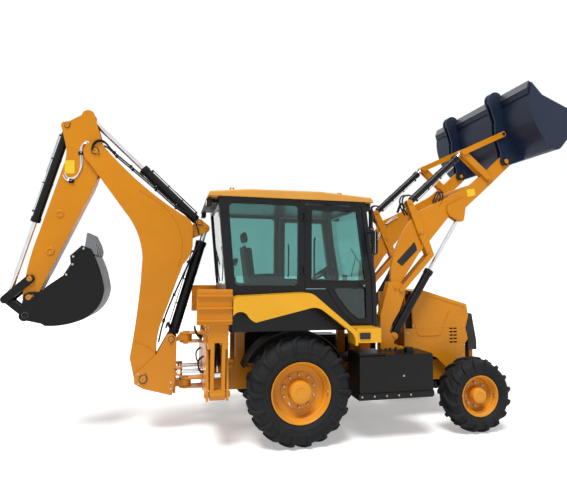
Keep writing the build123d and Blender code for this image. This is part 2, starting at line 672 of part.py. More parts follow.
# ---------------------------------------------------------------- swing post
POST_IN = BOOM_W / 2 + RUN
POST_OUTLINE = [(-1840, 575), (-1950, 640), (-1960, 760), (-1860, 830), (-1694, 1000),
                (-1560, 1250), (-1500, 1262), (-1445, 1210), (-1440, 1095), (-1450, 660),
                (-1486, 478)]
with BuildPart() as swing_post:
    for sign in (-1, 1):
        add(plate(POST_OUTLINE, sign * (POST_IN + POST_T / 2), POST_T))
    # casting between the plates, bored for the king pins
    add(box(-1475, -1440, -POST_IN, POST_IN, 500, 1130))
    for z0, z1 in ((1155, 1237), (570, 652)):
        add(box(-1475, SWING_X, -75, 75, z0, z1))
        with Locations((REAR_AXLE_X + SWING_X, 0, (z0 + z1) / 2)):
            Cylinder(78, z1 - z0)
    add(box(-1475, -1440, -75, 75, 500, 1237))
    # wings that take the swing cylinders
    for sign in (-1, 1):
        for z in (RAM_LEVEL + 34, RAM_LEVEL - 54):
            with BuildSketch(level(z)):
                for centre, radius in (((SWING_EYE_X, sign * SWING_RAM_Y), 36),
                                       ((-1465, sign * POST_IN), 25)):
                    with Locations(centre):
                        Circle(radius)
                make_hull()
            extrude(amount=20)
    for z0, z1 in ((1100, 1285), (520, 700)):
        with Locations((REAR_AXLE_X + SWING_X, 0, (z0 + z1) / 2)):
            Cylinder(KING_R + FIT, z1 - z0, mode=Mode.SUBTRACT)
    # pocket for the boom cylinder's eye and barrel
    add(pin(BOOM_CYL_BASE, 0, 2 * CHEEK_IN, 62), mode=Mode.SUBTRACT)
    add(link([(BOOM_CYL_BASE, 62), ((-1460, 1340), 95)], 0, 170), mode=Mode.SUBTRACT)
    post_span = 2 * (POST_IN + POST_T)
    add(pin(BOOM_FOOT, 0, post_span + 30, 36))
    add(pin(BOOM_CYL_BASE, 0, post_span + 20, 28))
finish(swing_post.part, "swing_post")

# ---------------------------------------------------------------- boom
BOOM_OUTLINE = [(-1955, 690, -1845, 586), (-2018, 960), (-1895, 2230, -1938, 1598),
                (-2119, 2817, -1960, 2540), (-2590, 3455), (-2560, 3730, -2655, 3610),
                (-2450, 3712), (-1395, 2812, -1900, 3172), (-1262, 2640, -1302, 2742),
                (-1262, 2400), (-1381, 2162, -1300, 2275), (-1655, 1360),
                (-1700, 1000, -1692, 1180), (-1735, 690)]
with BuildPart() as boom:
    add(plate(BOOM_OUTLINE, 0, BOOM_W))
    add(plate(BOOM_OUTLINE, 0, BOOM_W - 2 * BOOM_WALL, inset=BOOM_WALL), mode=Mode.SUBTRACT)
    # fork for the dipper
    add(pin(DIPPER_PIN, 0, BOOM_W - 2 * BOOM_WALL, 440), mode=Mode.SUBTRACT)
    # bracket for the boom and dipper cylinders
    bracket = [(BOOM_CYL_EYE, 55), (DIPPER_CYL_BASE, 48), ((-1310, 2560), 60)]
    for sign in (-1, 1):
        add(link(bracket, sign * (CHEEK_IN + 10), 20))
    add(pin(BOOM_FOOT, 0, BOOM_W, 75))
    add(pin(BOOM_FOOT, 0, 400, 36 + FIT), mode=Mode.SUBTRACT)
    add(pin(DIPPER_CYL_BASE, 0, 2 * CHEEK_IN + 50, 24))
    add(pin(DIPPER_PIN, 0, BOOM_W + 20, 34))
finish(boom.part, "boom")

HOE_EYE_W = 2 * CHEEK_IN - 6
with BuildPart() as boom_barrel:
    add(ram_barrel(BOOM_CYL_BASE, BOOM_CYL_EYE, 0, 1330, 66, 34, 52, HOE_EYE_W, 28))
finish(boom_barrel.part, "boom_barrel")
with BuildPart() as boom_rod:
    add(ram_rod(BOOM_CYL_BASE, BOOM_CYL_EYE, 0, 110, 34, 48, HOE_EYE_W))
finish(boom_rod.part, "boom_rod")
with BuildPart() as dipper_barrel:
    add(ram_barrel(DIPPER_CYL_BASE, DIPPER_CYL_EYE, 0, 1030, 60, 32, 46, HOE_EYE_W, 24))
finish(dipper_barrel.part, "dipper_barrel")
with BuildPart() as dipper_rod:
    add(ram_rod(DIPPER_CYL_BASE, DIPPER_CYL_EYE, 0, 830, 32, 46, HOE_EYE_W))
finish(dipper_rod.part, "dipper_rod")

# ---------------------------------------------------------------- dipper
DIPPER_OUTLINE = [(-2700, 4070), (-2548, 4100, -2625, 4142), (-2440, 3720),
                  (-2530, 3120, -2452, 3430), (-3130, 1745), (-3295, 1745, -3215, 1655),
                  (-3144, 2521, -3245, 2130), (-2880, 3440), (-2880, 3680, -2864, 3560),
                  (-2930, 3880), (-2918, 3962, -2938, 3930), (-2850, 3975)]
DIPPER_ROOM = [(-2400, 4200), (-2700, 4200), (-2760, 3940), (-2820, 3700), (-2855, 3640),
               (-2854, 3508), (-2936, 3218), (-2984, 3031), (-3128, 2525), (-3236, 2050),
               (-2950, 2174), (-2812, 2534), (-2673, 2823), (-2500, 3284), (-2456, 3740),
               (-2400, 3850)]
with BuildPart() as dipper:
    add(plate(DIPPER_OUTLINE, 0, DIPPER_W))
    add(plate(DIPPER_ROOM, 0, DIPPER_W - 2 * BOOM_WALL), mode=Mode.SUBTRACT)
    # slot at the rear corner for the bucket cylinder
    slot = [(-2780, 4100), (-3050, 4100), (-3100, 3500), (-2890, 3560), (-2880, 3660),
            (-2800, 3820)]
    add(plate(slot, 0, DIPPER_W - 2 * BOOM_WALL), mode=Mode.SUBTRACT)
    for sign in (-1, 1):
        y = sign * (CHEEK_IN + DIPPER_W / 2 - BOOM_WALL) / 2
        add(pin(BUCKET_CYL_BASE, y, DIPPER_W / 2 - BOOM_WALL - CHEEK_IN, 42))
    add(pin(DIPPER_PIN, 0, DIPPER_W, 80))
    add(pin(DIPPER_PIN, 0, 400, 34 + FIT), mode=Mode.SUBTRACT)
    add(pin(TIPPING_LEVER_PIN, 0, DIPPER_W + 2 * (RUN + LEVER_T) + 16, 26))
    add(pin(HOE_PIN, 0, DIPPER_W + 2 * (RUN + EAR_T) + 16, 28))
    add(pin(BUCKET_CYL_BASE, 0, DIPPER_W + 16, 24))
finish(dipper.part, "dipper")

with BuildPart() as bucket_barrel:
    add(ram_barrel(BUCKET_CYL_BASE, TIPPING_EYE, 0, 1291, 52, 28, 44, HOE_EYE_W, 24))
finish(bucket_barrel.part, "bucket_barrel")
with BuildPart() as bucket_rod:
    add(ram_rod(BUCKET_CYL_BASE, TIPPING_EYE, 0, 1090, 28, 42, HOE_EYE_W))
finish(bucket_rod.part, "bucket_rod")

TIP_OFF = DIPPER_W / 2 + RUN + LEVER_T / 2
with BuildPart() as tipping_levers:
    for sign in (-1, 1):
        add(link([(TIPPING_LEVER_PIN, 52), (TIPPING_EYE, 50)], sign * TIP_OFF, LEVER_T))
    add(pin(TIPPING_LEVER_PIN, 0, 400, 26 + FIT), mode=Mode.SUBTRACT)
    # pin ends on each lever; the rod eye and the bucket link sit between them
    for sign in (-1, 1):
        add(pin(TIPPING_EYE, sign * (TIP_OFF - LEVER_T / 2 - 6), 20, 26))
finish(tipping_levers.part, "tipping_levers")

LINK_IN = CHEEK_IN + 2
with BuildPart() as tipping_links:
    for sign in (-1, 1):
        y = sign * (LINK_IN + 12)
        add(link([(TIPPING_EYE, 44), (HOE_LINK_PIN, 46)], y, 24))
    add(link([(HOE_LINK_PIN, 46)], 0, 2 * LINK_IN))
    add(pin(HOE_LINK_PIN, 0, 400, 26 + FIT), mode=Mode.SUBTRACT)
finish(tipping_links.part, "tipping_links")

# ---------------------------------------------------------------- backhoe bucket
HOE_SHELL = [(-3060, 1770), (-3040, 1450), (-2977, 1403), (-2560, 1472, -2765, 1412),
             (-2322, 1850, -2385, 1625), (-2490, 2330, -2382, 2090), (-2596, 2373),
             (-2727, 2243), (-2714, 2147), (-2790, 2011), (-2970, 1876)]
HOE_ROOM = [(-3042, 1790), (-3022, 1462), (-2970, 1421), (-2568, 1490, -2766, 1430),
            (-2339, 1852, -2400, 1636), (-2506, 2320, -2399, 2086), (-2520, 2345),
            (-2700, 2500), (-3000, 2100)]
HOE_CUTTER = [(-2490, 2330), (-2596, 2373), (-2727, 2243), (-2714, 2147), (-2790, 2011),
              (-2745, 1985), (-2660, 2150), (-2664, 2222), (-2580, 2310)]
HOE_EAR = [(-3215, 1800), (-3270, 1770), (-3310, 1540), (-3230, 1450, -3300, 1462),
           (-3000, 1395), (-2960, 1440), (-3000, 1600), (-3050, 1800)]
HOE_SIDE = 18
EAR_OFF = DIPPER_W / 2 + RUN + EAR_T / 2
with BuildPart() as backhoe_bucket:
    add(plate(HOE_SHELL, 0, 2 * BACKHOE_BUCKET_HALF))
    for sign in (-1, 1):
        add(plate(HOE_EAR, sign * EAR_OFF, EAR_T))
        # side cutters along the mouth
        add(plate(HOE_CUTTER, sign * (BACKHOE_BUCKET_HALF - HOE_SIDE / 2 + 2), HOE_SIDE + 4))
    add(plate(HOE_ROOM, 0, 2 * (BACKHOE_BUCKET_HALF - HOE_SIDE)), mode=Mode.SUBTRACT)
    add(pin(HOE_PIN, 0, 400, 28 + FIT), mode=Mode.SUBTRACT)
    add(pin(HOE_LINK_PIN, 0, 2 * EAR_OFF + EAR_T + 16, 26))
    # teeth
    tooth = [(-2440, 2250), (-2560, 2300), (-2545, 2520), (-2515, 2525), (-2440, 2330)]
    for y in (-255, -128, 0, 128, 255):
        add(plate(tooth, y, 60))
finish(backhoe_bucket.part, "backhoe_bucket")

# ---------------------------------------------------------------- stabilizers
LEG_W = 170
LEG_HEAD_W = 230  # above the frame plates
PAD_W = 400
PAD_X = STABILIZER_X - 50
for hand, sign in (("right", -1), ("left", 1)):
    with BuildPart() as stabilizer:
        py, pz = STABILIZER_PIN
        leg = [(-880, 600), (-880, 1660), (-985, 1660), (-985, 700), (-950, 600)]
        add(wall([(sign * -y, z) for y, z in leg], STABILIZER_X, LEG_W))
        head = [(-880, 1180), (-880, 1660), (-985, 1660), (-985, 1180)]
        add(wall([(sign * -y, z) for y, z in head], STABILIZER_X, LEG_HEAD_W))
        # pad with ribs on its sole
        pad = [(-985, 1460), (-985, 1860), (-1030, 1860), (-1030, 1460)]
        add(wall([(sign * -y, z) for y, z in pad], PAD_X, PAD_W, corner=6))
        for z in (1500, 1640, 1780):
            y0, y1 = sorted((sign * 1030, sign * 1062))
            add(box(PAD_X - PAD_W / 2, PAD_X + PAD_W / 2, y0, y1, z, z + 20))
        with BuildSketch(cross(STABILIZER_X)):
            with Locations((sign * -py, pz)):
                Circle(62)
        extrude(amount=LEG_W / 2, both=True)
        with BuildSketch(cross(STABILIZER_X)):
            with Locations((sign * -py, pz)):
                Circle(34 + FIT)
        extrude(amount=400, both=True, mode=Mode.SUBTRACT)
        # slot for the cylinder's rod eye
        y0, y1 = sorted((sign * 840, sign * 1000))
        add(box(STABILIZER_X - 42, STABILIZER_X + 42, y0, y1, 718, 1250), mode=Mode.SUBTRACT)
    finish(stabilizer.part, f"stabilizer_{hand}")

for hand, sign in (("right", -1), ("left", 1)):
    by, bz = STABILIZER_CYL_BASE
    ey, ez = STABILIZER_EYE
    run = hypot(ey - by, ez - bz)
    uy, uz = (ey - by) / run, (ez - bz) / run

    def ram_plane(along):
        """Plane square to the stabilizer cylinder at a distance from its base pin."""
        y = sign * -(by + uy * along)
        z = bz + uz * along
        return Plane(origin=(REAR_AXLE_X + STABILIZER_X, y, z), x_dir=(1, 0, 0),
                     z_dir=(0, sign * -uy, uz))

    with BuildPart() as stabilizer_barrel:
        with BuildSketch(cross(STABILIZER_X)):
            with Locations((sign * -by, bz)):
                Circle(40)
        extrude(amount=35, both=True)
        with BuildSketch(ram_plane(36)):
            Circle(45)
        extrude(amount=470)
        with BuildSketch(ram_plane(60)):
            Circle(24 + FIT)
        extrude(amount=600, mode=Mode.SUBTRACT)
        with BuildSketch(cross(STABILIZER_X)):
            with Locations((sign * -by, bz)):
                Circle(20 + FIT)
        extrude(amount=100, both=True, mode=Mode.SUBTRACT)
    finish(stabilizer_barrel.part, f"stabilizer_barrel_{hand}")
    with BuildPart() as stabilizer_rod:
        with BuildSketch(ram_plane(80)):
            Circle(24)
        extrude(amount=run - 110)
        with BuildSketch(cross(STABILIZER_X)):
            with Locations((sign * -ey, ez)):
                Circle(34)
        extrude(amount=34, both=True)
    finish(stabilizer_rod.part, f"stabilizer_rod_{hand}")

# ---------------------------------------------------------------- engine, cowl, hood
COWL_TOP = 1294
HOOD_FOOT = COWL_TOP + FIT
HOOD_NOSE = (2660, 1500)
HOOD_SIDE = [(1760, HOOD_FOOT), (1745, 1820), (1919, 1835), (2640, 1630), HOOD_NOSE,
             (2600, HOOD_FOOT)]
HOOD_ROOM = [(1700, 1200), (1700, 1802), (1921, 1818), (2624, 1616), (2642, 1498), (2580, 1200)]
HOOD_EDGE_R = 35
# pressed panel on each side, shared by the hood and the cowl
SIDE_PANEL = [(1800, 1150), (1860, 1100, 1812, 1112), (2130, 1096), (2254, 1167, 2205, 1112),
              (2420, 1405), (2560, 1470, 2475, 1460), (2590, 1585), (1922, 1775),
              (1800, 1768)]
PANEL_DEPTH = 5
COWL_SIDE = [(1640, 958), (1640, COWL_TOP), (2598, COWL_TOP), (2636, 1133), (2590, 1074),
             (2586, 869), (2421, 832), (2293, 735), (2134, 884), (1928, 958)]
COWL_ROOM = [(1600, 700), (1600, 1400), (2800, 1400), (2800, 700)]
LOUVRES_X = (2342, 2406)
LOUVRE_W = 54
LOUVRE_H = 22
LOUVRE_PITCH = 48
HOOD_HINGE = (1740, 1785)
HOOD_HINGE_Y = 300
HOOD_LUG_W = 20
HOOD_PIN_R = 10
with BuildPart() as hood:
    add(plate(HOOD_SIDE, 0, 2 * HOOD_HALF))
    crease = [e for e in hood.edges() if abs(abs(e.center().Y) - HOOD_HALF) < 1
              and e.center().Z > HOOD_NOSE[1]]
    fillet(crease, HOOD_EDGE_R)
    add(plate(HOOD_ROOM, 0, 2 * (HOOD_HALF - HOOD_WALL)), mode=Mode.SUBTRACT)
    for y in (-HOOD_HALF, HOOD_HALF):
        add(plate(SIDE_PANEL, y, 2 * PANEL_DEPTH), mode=Mode.SUBTRACT)
    # hinge lugs under the rear edge
    for y in (-HOOD_HINGE_Y, HOOD_HINGE_Y):
        add(link([(HOOD_HINGE, 18), ((1800, 1812), 10)], y, HOOD_LUG_W))
    add(pin(HOOD_HINGE, 0, 2 * HOOD_HALF, HOOD_PIN_R + FIT), mode=Mode.SUBTRACT)
finish(hood.part, "hood")

with BuildPart() as cowl:
    add(plate(COWL_SIDE, 0, 2 * HOOD_HALF))
    add(plate(COWL_ROOM, 0, 2 * (HOOD_HALF - HOOD_WALL)), mode=Mode.SUBTRACT)
    for y in (-HOOD_HALF, HOOD_HALF):
        add(plate(SIDE_PANEL, y, 2 * PANEL_DEPTH), mode=Mode.SUBTRACT)
    # louvres in both sides
    for x in LOUVRES_X:
        for row in range(5):
            z = 1082 + row * LOUVRE_PITCH
            add(box(x, x + LOUVRE_W, -500, 500, z, z + LOUVRE_H), mode=Mode.SUBTRACT)
    # bulkhead behind the engine with the hood's hinge ledge
    add(box(1640, 1656, -HOOD_HALF, HOOD_HALF, 910, 1780))
    for sign in (-1, 1):
        # feet on the frame rails
        y0, y1 = sorted((sign * (RAIL_Y - RAIL_W / 2), sign * (RAIL_Y + RAIL_W / 2)))
        add(box(1640, 1656, y0, y1, RAIL_TOP + FIT, 920))
        # brackets and pins of the hood's hinges
        y = sign * (HOOD_HINGE_Y + HOOD_LUG_W + 2)
        add(link([(HOOD_HINGE, 16), ((1654, 1755), 14)], y, HOOD_LUG_W))
        y = sign * (HOOD_HINGE_Y + HOOD_LUG_W / 2)
        add(pin(HOOD_HINGE, y, 2 * HOOD_LUG_W + 10, HOOD_PIN_R))
finish(cowl.part, "cowl")

# grille on the hood's front wall, which it tilts with
GRILLE_HALF = HOOD_HALF - 20
GRILLE_SIDE = [(2605.5, 1312), (2660.3, 1500), (2720, 1490), (2790, 1100), (2790, 975),
               (2652, 975), (2652, 1133)]
with BuildPart() as grille:
    add(plate(GRILLE_SIDE, 0, 2 * GRILLE_HALF))
    # upright slots in its face
    for step in range(-7, 8):
        y = step * 50
        add(box(2735, 2800, y - 15, y + 15, 1010, 1400), mode=Mode.SUBTRACT)
finish(grille.part, "grille")

with BuildPart() as engine:
    add(box(1700, 2520, -230, 230, RAIL_TOP - 60, 1560))
    add(box(640, 1720, -170, 170, 470, 900))
    # engine feet on the frame rails
    for x in (1760, 2380):
        add(box(x, x + 80, -RAIL_Y, RAIL_Y, RAIL_TOP, RAIL_TOP + 30))
finish(engine.part, "engine")

# ---------------------------------------------------------------- side tanks, fenders
TANK_IN = 650
TANK_OUT = 1045
TANK_CAP = (1448, 900)
with BuildPart() as side_tanks:
    for sign in (-1, 1):
        y0, y1 = sorted((sign * TANK_IN, sign * TANK_OUT))
        add(box(720, 1700, y0, y1, 520, 1060))
        long_edges = [e for e in side_tanks.edges().filter_by(Axis.X)
                      if abs(e.center().Y - sign * TANK_OUT) < 1]
        fillet(long_edges, 25)
    for sign in (-1, 1):
        # brackets to the frame rail
        y0, y1 = sorted((sign * (RAIL_Y + RAIL_W / 2), sign * TANK_IN))
        add(box(760, 1160, y0, y1, 600, 700))
        # foot rail along the bottom, tread plate on top, filler cap
        y0, y1 = sorted((sign * (TANK_OUT - 10), sign * (TANK_OUT + 22)))
        add(box(700, 1700, y0, y1, 545, 605))
        y0, y1 = sorted((sign * 700, sign * 1050))
        add(box(714, 1063, y0, y1, 1060, 1085))
        with Locations((REAR_AXLE_X + TANK_CAP[0], sign * TANK_CAP[1], 1085)):
            Cylinder(62, 70)
finish(side_tanks.part, "side_tanks")

FENDER_OUT = 1072
FENDER_SKIRT = 20
FENDER_EDGE = [(-822, 1740), (-700, 1782, -770, 1774), (40, 1818), (165, 1775, 112, 1808),
               (640, 1385), (690, 1300, 678, 1350)]
FENDER_UNDER = [(690, 1188), (655, 1188), (600, 1352, 645, 1290), (260, 1604),
                (60, 1632, 172, 1642), (-560, 1482), (-650, 1552, -596, 1500),
                (-822, 1560, -742, 1606)]
with BuildPart() as fenders:
    inner = CAB_HALF + FIT
    add(plate(FENDER_EDGE + FENDER_UNDER, -(inner + FENDER_OUT) / 2, FENDER_OUT - inner))
    # hollow under the top sheet and behind the skirt
    room = shifted(FENDER_EDGE, -14, -24) + [(676, 1100), (-836, 1100)]
    room_out = FENDER_OUT - FENDER_SKIRT
    add(plate(room, -(inner + room_out) / 2, room_out - inner), mode=Mode.SUBTRACT)
    # step box ahead of the fender
    add(box(680, 995, -1060, -inner, 1215, 1388))
    mirror(about=Plane.XZ)
finish(fenders.part, "fenders")

# ---------------------------------------------------------------- cab
CAB_SIDE = [(-825, CAB_FLOOR_Z), (-825, 1480), (-875, 1844), (-985, CAB_TOP_Z),
            (940, CAB_TOP_Z), (998, 2473), (1077, 2015), (1093, CAB_FLOOR_Z)]
CAB_ROOM = [(-765, CAB_FLOOR_Z + 50), (-765, 1480), (-815, 1844), (-925, CAB_TOP_Z - 50),
            (880, CAB_TOP_Z - 50), (938, 2473), (1017, 2015), (1033, CAB_FLOOR_Z + 50)]
DOOR_OUTLINE = [(110, 2925), (110, 1860), (400, 1860), (505, 1690), (610, 1550), (780, 1400),
                (1020, 1400), (1000, 2015), (920, 2473), (865, 2925)]
DOOR_HINGE_X = 110 - DOOR_GAP
DOOR_HINGE_Y = CAB_HALF + 16
DOOR_HINGES_Z = (2080, 2760)
KNUCKLE_H = 80
HINGE_PIN_R = 8
REAR_SIDE_WINDOW = [(-770, 1900), (-860, 2900), (20, 2900), (20, 1900)]
CAB_EDGE_R = 30
DOOR_CORNER = 30
PANE_CORNER = 55
with BuildPart() as cab_frame:
    add(plate(CAB_SIDE, 0, 2 * CAB_HALF))
    corners = [e for e in cab_frame.edges() if abs(abs(e.center().Y) - CAB_HALF) < 1
               and CAB_FLOOR_Z + 1 < e.center().Z < CAB_TOP_Z - 1]
    fillet(corners, CAB_EDGE_R)
    add(plate(CAB_ROOM, 0, 2 * (CAB_HALF - CAB_WALL)), mode=Mode.SUBTRACT)
    add(plate(DOOR_OUTLINE, 0, 2 * CAB_HALF + 20, DOOR_CORNER, -DOOR_GAP), mode=Mode.SUBTRACT)
    add(plate(REAR_SIDE_WINDOW, 0, 2 * CAB_HALF + 20, PANE_CORNER), mode=Mode.SUBTRACT)
    # windscreen and rear window
    add(box(850, 1200, -660, 660, 1950, 2900), mode=Mode.SUBTRACT)
    add(box(-1100, -780, -660, 660, 1900, 2900), mode=Mode.SUBTRACT)
    # door hinges: pins between ears on the outer face
    for sign in (-1, 1):
        y0, y1 = sorted((sign * (CAB_HALF - 1), sign * (DOOR_HINGE_Y + 8)))
        for z in DOOR_HINGES_Z:
            for z0 in (z - KNUCKLE_H / 2 - 14, z + KNUCKLE_H / 2 + 2):
                add(box(DOOR_HINGE_X - 44, DOOR_HINGE_X + 12, y0, y1, z0, z0 + 12))
            with Locations((REAR_AXLE_X + DOOR_HINGE_X, sign * DOOR_HINGE_Y, z)):
                Cylinder(HINGE_PIN_R, KNUCKLE_H + 20)
finish(cab_frame.part, "cab_frame")

with BuildPart() as cab_glass:
    add(plate(REAR_SIDE_WINDOW, 0, 2 * (CAB_HALF - 20), PANE_CORNER, FIT))
    add(box(-1100, 100, -CAB_HALF + 20 + GLASS, CAB_HALF - 20 - GLASS, 1800, 3000),
        mode=Mode.SUBTRACT)
    front = [(925, 2900 - FIT), (972, 2473), (1043, 2050), (1061, 1950 + FIT),
             (1067, 1950 + FIT), (1049, 2050), (978, 2473), (931, 2900 - FIT)]
    add(plate(front, 0, 2 * (660 - FIT)))
    rear = [(-860, 1900 + FIT), (-955, 2900 - FIT), (-949, 2900 - FIT), (-854, 1900 + FIT)]
    add(plate(rear, 0, 2 * (660 - FIT)))
finish(cab_glass.part, "cab_glass")

DOOR_WINDOW = [(190, 2860), (190, 1960), (925, 1960), (860, 2450), (810, 2860)]
DOOR_LOWER = [(480, 1870), (560, 1740), (680, 1590), (820, 1470), (940, 1470), (930, 1870)]
for hand, sign in (("right", -1), ("left", 1)):
    with BuildPart() as door:
        add(plate(DOOR_OUTLINE, sign * (CAB_HALF - 30), 50, DOOR_CORNER))
        for outline in (DOOR_WINDOW, DOOR_LOWER):
            add(plate(outline, 0, 2 * CAB_HALF + 100, DOOR_CORNER), mode=Mode.SUBTRACT)
        # hinge leaves with their knuckles
        y0, y1 = sorted((sign * (CAB_HALF - 10), sign * DOOR_HINGE_Y))
        for z in DOOR_HINGES_Z:
            z0, z1 = z - KNUCKLE_H / 2, z + KNUCKLE_H / 2
            add(box(DOOR_HINGE_X + 1, DOOR_HINGE_X + 70, y0, y1, z0, z1))
            with Locations((REAR_AXLE_X + DOOR_HINGE_X, sign * DOOR_HINGE_Y, z)):
                Cylinder(15, KNUCKLE_H)
                Cylinder(HINGE_PIN_R + FIT, KNUCKLE_H, mode=Mode.SUBTRACT)
    finish(door.part, f"door_{hand}")
    with BuildPart() as door_glass:
        for outline in (DOOR_WINDOW, DOOR_LOWER):
            add(plate(outline, sign * (CAB_HALF - 30), GLASS, DOOR_CORNER, FIT))
    finish(door_glass.part, f"door_glass_{hand}")

with BuildPart() as cab_roof:
    roof = [(-1100, CAB_TOP_Z), (-1111, 2960), (-1125, 2960), (-1090, 3040), (-600, 3085),
            (300, 3095), (1000, 3046), (1040, 2990), (1035, CAB_TOP_Z)]
    add(plate(roof, 0, 2 * (CAB_HALF + 25)))
    brim = [e for e in cab_roof.edges() if abs(abs(e.center().Y) - CAB_HALF - 25) < 1
            and e.center().Z > CAB_TOP_Z + 25]
    fillet(brim, 26)
    # lifting eyes on the roof's right side
    for x in (-800, 640):
        add(box(x - 30, x + 30, -560, -548, 3060, 3130))
        add(pin((x, 3108), -554, 40, 12), mode=Mode.SUBTRACT)
finish(cab_roof.part, "cab_roof")

FLOOR_TOP = CAB_FLOOR_Z + 50
with BuildPart() as seat:
    add(box(-420, -20, -210, 210, FLOOR_TOP, 1700))
    add(box(-480, 30, -250, 250, 1700, 1820))
    add(plate([(-500, 1820), (-590, 2420), (-490, 2420), (-400, 1820)], 0, 460))
    add(plate([(-590, 2450), (-610, 2620), (-530, 2620), (-500, 2450)], 0, 260))
    add(box(-560, -530, -60, 60, 2400, 2470))
finish(seat.part, "seat")

with BuildPart() as controls:
    add(box(700, 1000, -200, 200, FLOOR_TOP, 1900))
    add(box(-760, -640, -220, 220, FLOOR_TOP, 1950))
    for y in (-110, 110):
        add(box(-730, -705, y - 12, y + 12, 1950, 2240))
finish(controls.part, "controls")

# ---------------------------------------------------------------- exhaust and fittings
with BuildPart() as exhaust:
    with BuildSketch(Plane(origin=(REAR_AXLE_X + 1150, -420, 1700))):
        Circle(42)
    extrude(amount=1250)
    add(box(1086, 1190, -460, -380, 1650, 1710))
finish(exhaust.part, "exhaust")

LAMP_H = 95
with BuildPart() as cab_fittings:
    # work lamps under the roof, front and rear
    for x, top in ((965, CAB_TOP_Z), (-1125, 2960)):
        for y in (-600, 600):
            with BuildSketch(cross(x)):
                with Locations((y, top - FIT - LAMP_H / 2)):
                    RectangleRounded(150, LAMP_H, 14)
            extrude(amount=75)
    # mirrors on arms from the front pillars
    for sign in (-1, 1):
        y0, y1 = sorted((sign * (CAB_HALF + FIT), sign * 985))
        add(box(960, 984, y0, y1, 2560, 2584))
        y0, y1 = sorted((sign * 860, sign * 1010))
        add(box(950, 990, y0, y1, 2290, 2600))
finish(cab_fittings.part, "cab_fittings")
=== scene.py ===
"""Looks of the backhoe loader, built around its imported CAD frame.

Shapes are written in millimetres, with x from the rear axle line, y to the operator's
left and z up, and are turned into the frame's metres when their object is made.
"""

import math
from functools import cache

import bmesh
import bpy
from bpy.props import FloatProperty, FloatVectorProperty, PointerProperty
from bpy.types import Operator, Panel, PropertyGroup
from mathutils import Euler, Matrix, Vector


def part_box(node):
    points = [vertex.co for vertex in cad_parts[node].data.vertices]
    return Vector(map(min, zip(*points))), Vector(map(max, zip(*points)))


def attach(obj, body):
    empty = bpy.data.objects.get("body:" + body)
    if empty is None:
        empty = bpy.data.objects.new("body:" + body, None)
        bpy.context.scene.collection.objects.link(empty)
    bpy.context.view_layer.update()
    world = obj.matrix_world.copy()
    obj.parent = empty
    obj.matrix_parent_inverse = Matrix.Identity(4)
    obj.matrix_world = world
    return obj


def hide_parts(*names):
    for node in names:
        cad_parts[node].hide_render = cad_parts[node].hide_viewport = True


bl_info = {
    "name": "Backhoe Loader Dresser",
    "version": (1, 0, 0),
    "blender": (4, 5, 0),
    "location": "View3D > Sidebar > Backhoe",
    "description": "Adds finishes, tyres, cab fittings, hoses and small parts to a backhoe loader",
    "category": "Object",
}

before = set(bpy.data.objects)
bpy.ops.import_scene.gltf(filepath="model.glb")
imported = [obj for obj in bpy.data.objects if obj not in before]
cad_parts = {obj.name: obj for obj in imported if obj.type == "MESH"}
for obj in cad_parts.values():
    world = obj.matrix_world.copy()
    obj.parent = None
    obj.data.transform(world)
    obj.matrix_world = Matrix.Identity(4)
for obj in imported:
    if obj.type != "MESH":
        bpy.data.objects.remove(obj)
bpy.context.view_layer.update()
REAR_AXLE_X = sum(corner.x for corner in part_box("tyre_rear_right")) / 2
TO_FRAME = Matrix.Translation((REAR_AXLE_X, 0, 0)) @ Matrix.Scale(0.001, 4)
SIDES = (("right", -1), ("left", 1))
RIGHT = Vector((0, -1, 0))
UP = Vector((0, 0, 1))


# ------------------------------------------------------------------ node helpers
class Nodes:
    """Short hand for building a node tree."""

    def __init__(self, tree):
        self.tree = tree

    def feed(self, node, values):
        """Link or set inputs of a node, each by its name or number."""
        for key, value in values.items():
            if isinstance(value, bpy.types.NodeSocket):
                self.tree.links.new(value, node.inputs[key])
            else:
                node.inputs[key].default_value = value

    def add(self, kind, values=None, **settings):
        node = self.tree.nodes.new(kind)
        for key, value in settings.items():
            setattr(node, key, value)
        self.feed(node, values or {})
        return node

    def math(self, operation, first, second, clamp=False):
        return self.add("ShaderNodeMath", {0: first, 1: second}, operation=operation,
                        use_clamp=clamp).outputs[0]

    def plus(self, first, second, clamp=False):
        return self.math("ADD", first, second, clamp)

    def times(self, first, second, clamp=False):
        return self.math("MULTIPLY", first, second, clamp)

    def mix(self, factor, first, second):
        return self.add("ShaderNodeMix", {0: factor, 6: first, 7: second},
                        data_type="RGBA").outputs[2]

    def ramp(self, value, low, high, to_low=0.0, to_high=1.0):
        return self.add("ShaderNodeMapRange", {
            "Value": value, "From Min": low, "From Max": high, "To Min": to_low,
            "To Max": to_high}).outputs[0]

    def noise(self, vector, scale, detail=4.0, rough=0.55):
        return self.add("ShaderNodeTexNoise", {
            "Vector": vector, "Scale": scale, "Detail": detail,
            "Roughness": rough}).outputs["Fac"]

    def bump(self, height, strength, distance, normal=None):
        node = self.add("ShaderNodeBump",
                        {"Height": height, "Strength": strength, "Distance": distance})
        if normal is not None:
            self.feed(node, {"Normal": normal})
        return node.outputs["Normal"]

    def place(self):
        return self.add("ShaderNodeTexCoord").outputs["Object"]

    def bevel(self, radius):
        return self.add("ShaderNodeBevel", {"Radius": radius}, samples=4).outputs["Normal"]


def colour(*values):
    """Display colour, 0 to 255, as the linear colour that sockets take."""
    shares = [value / 255 for value in values]
    return (*(s / 12.92 if s <= 0.04045 else ((s + 0.055) / 1.055) ** 2.4 for s in shares), 1.0)


BLACK = (0, 0, 0, 1)


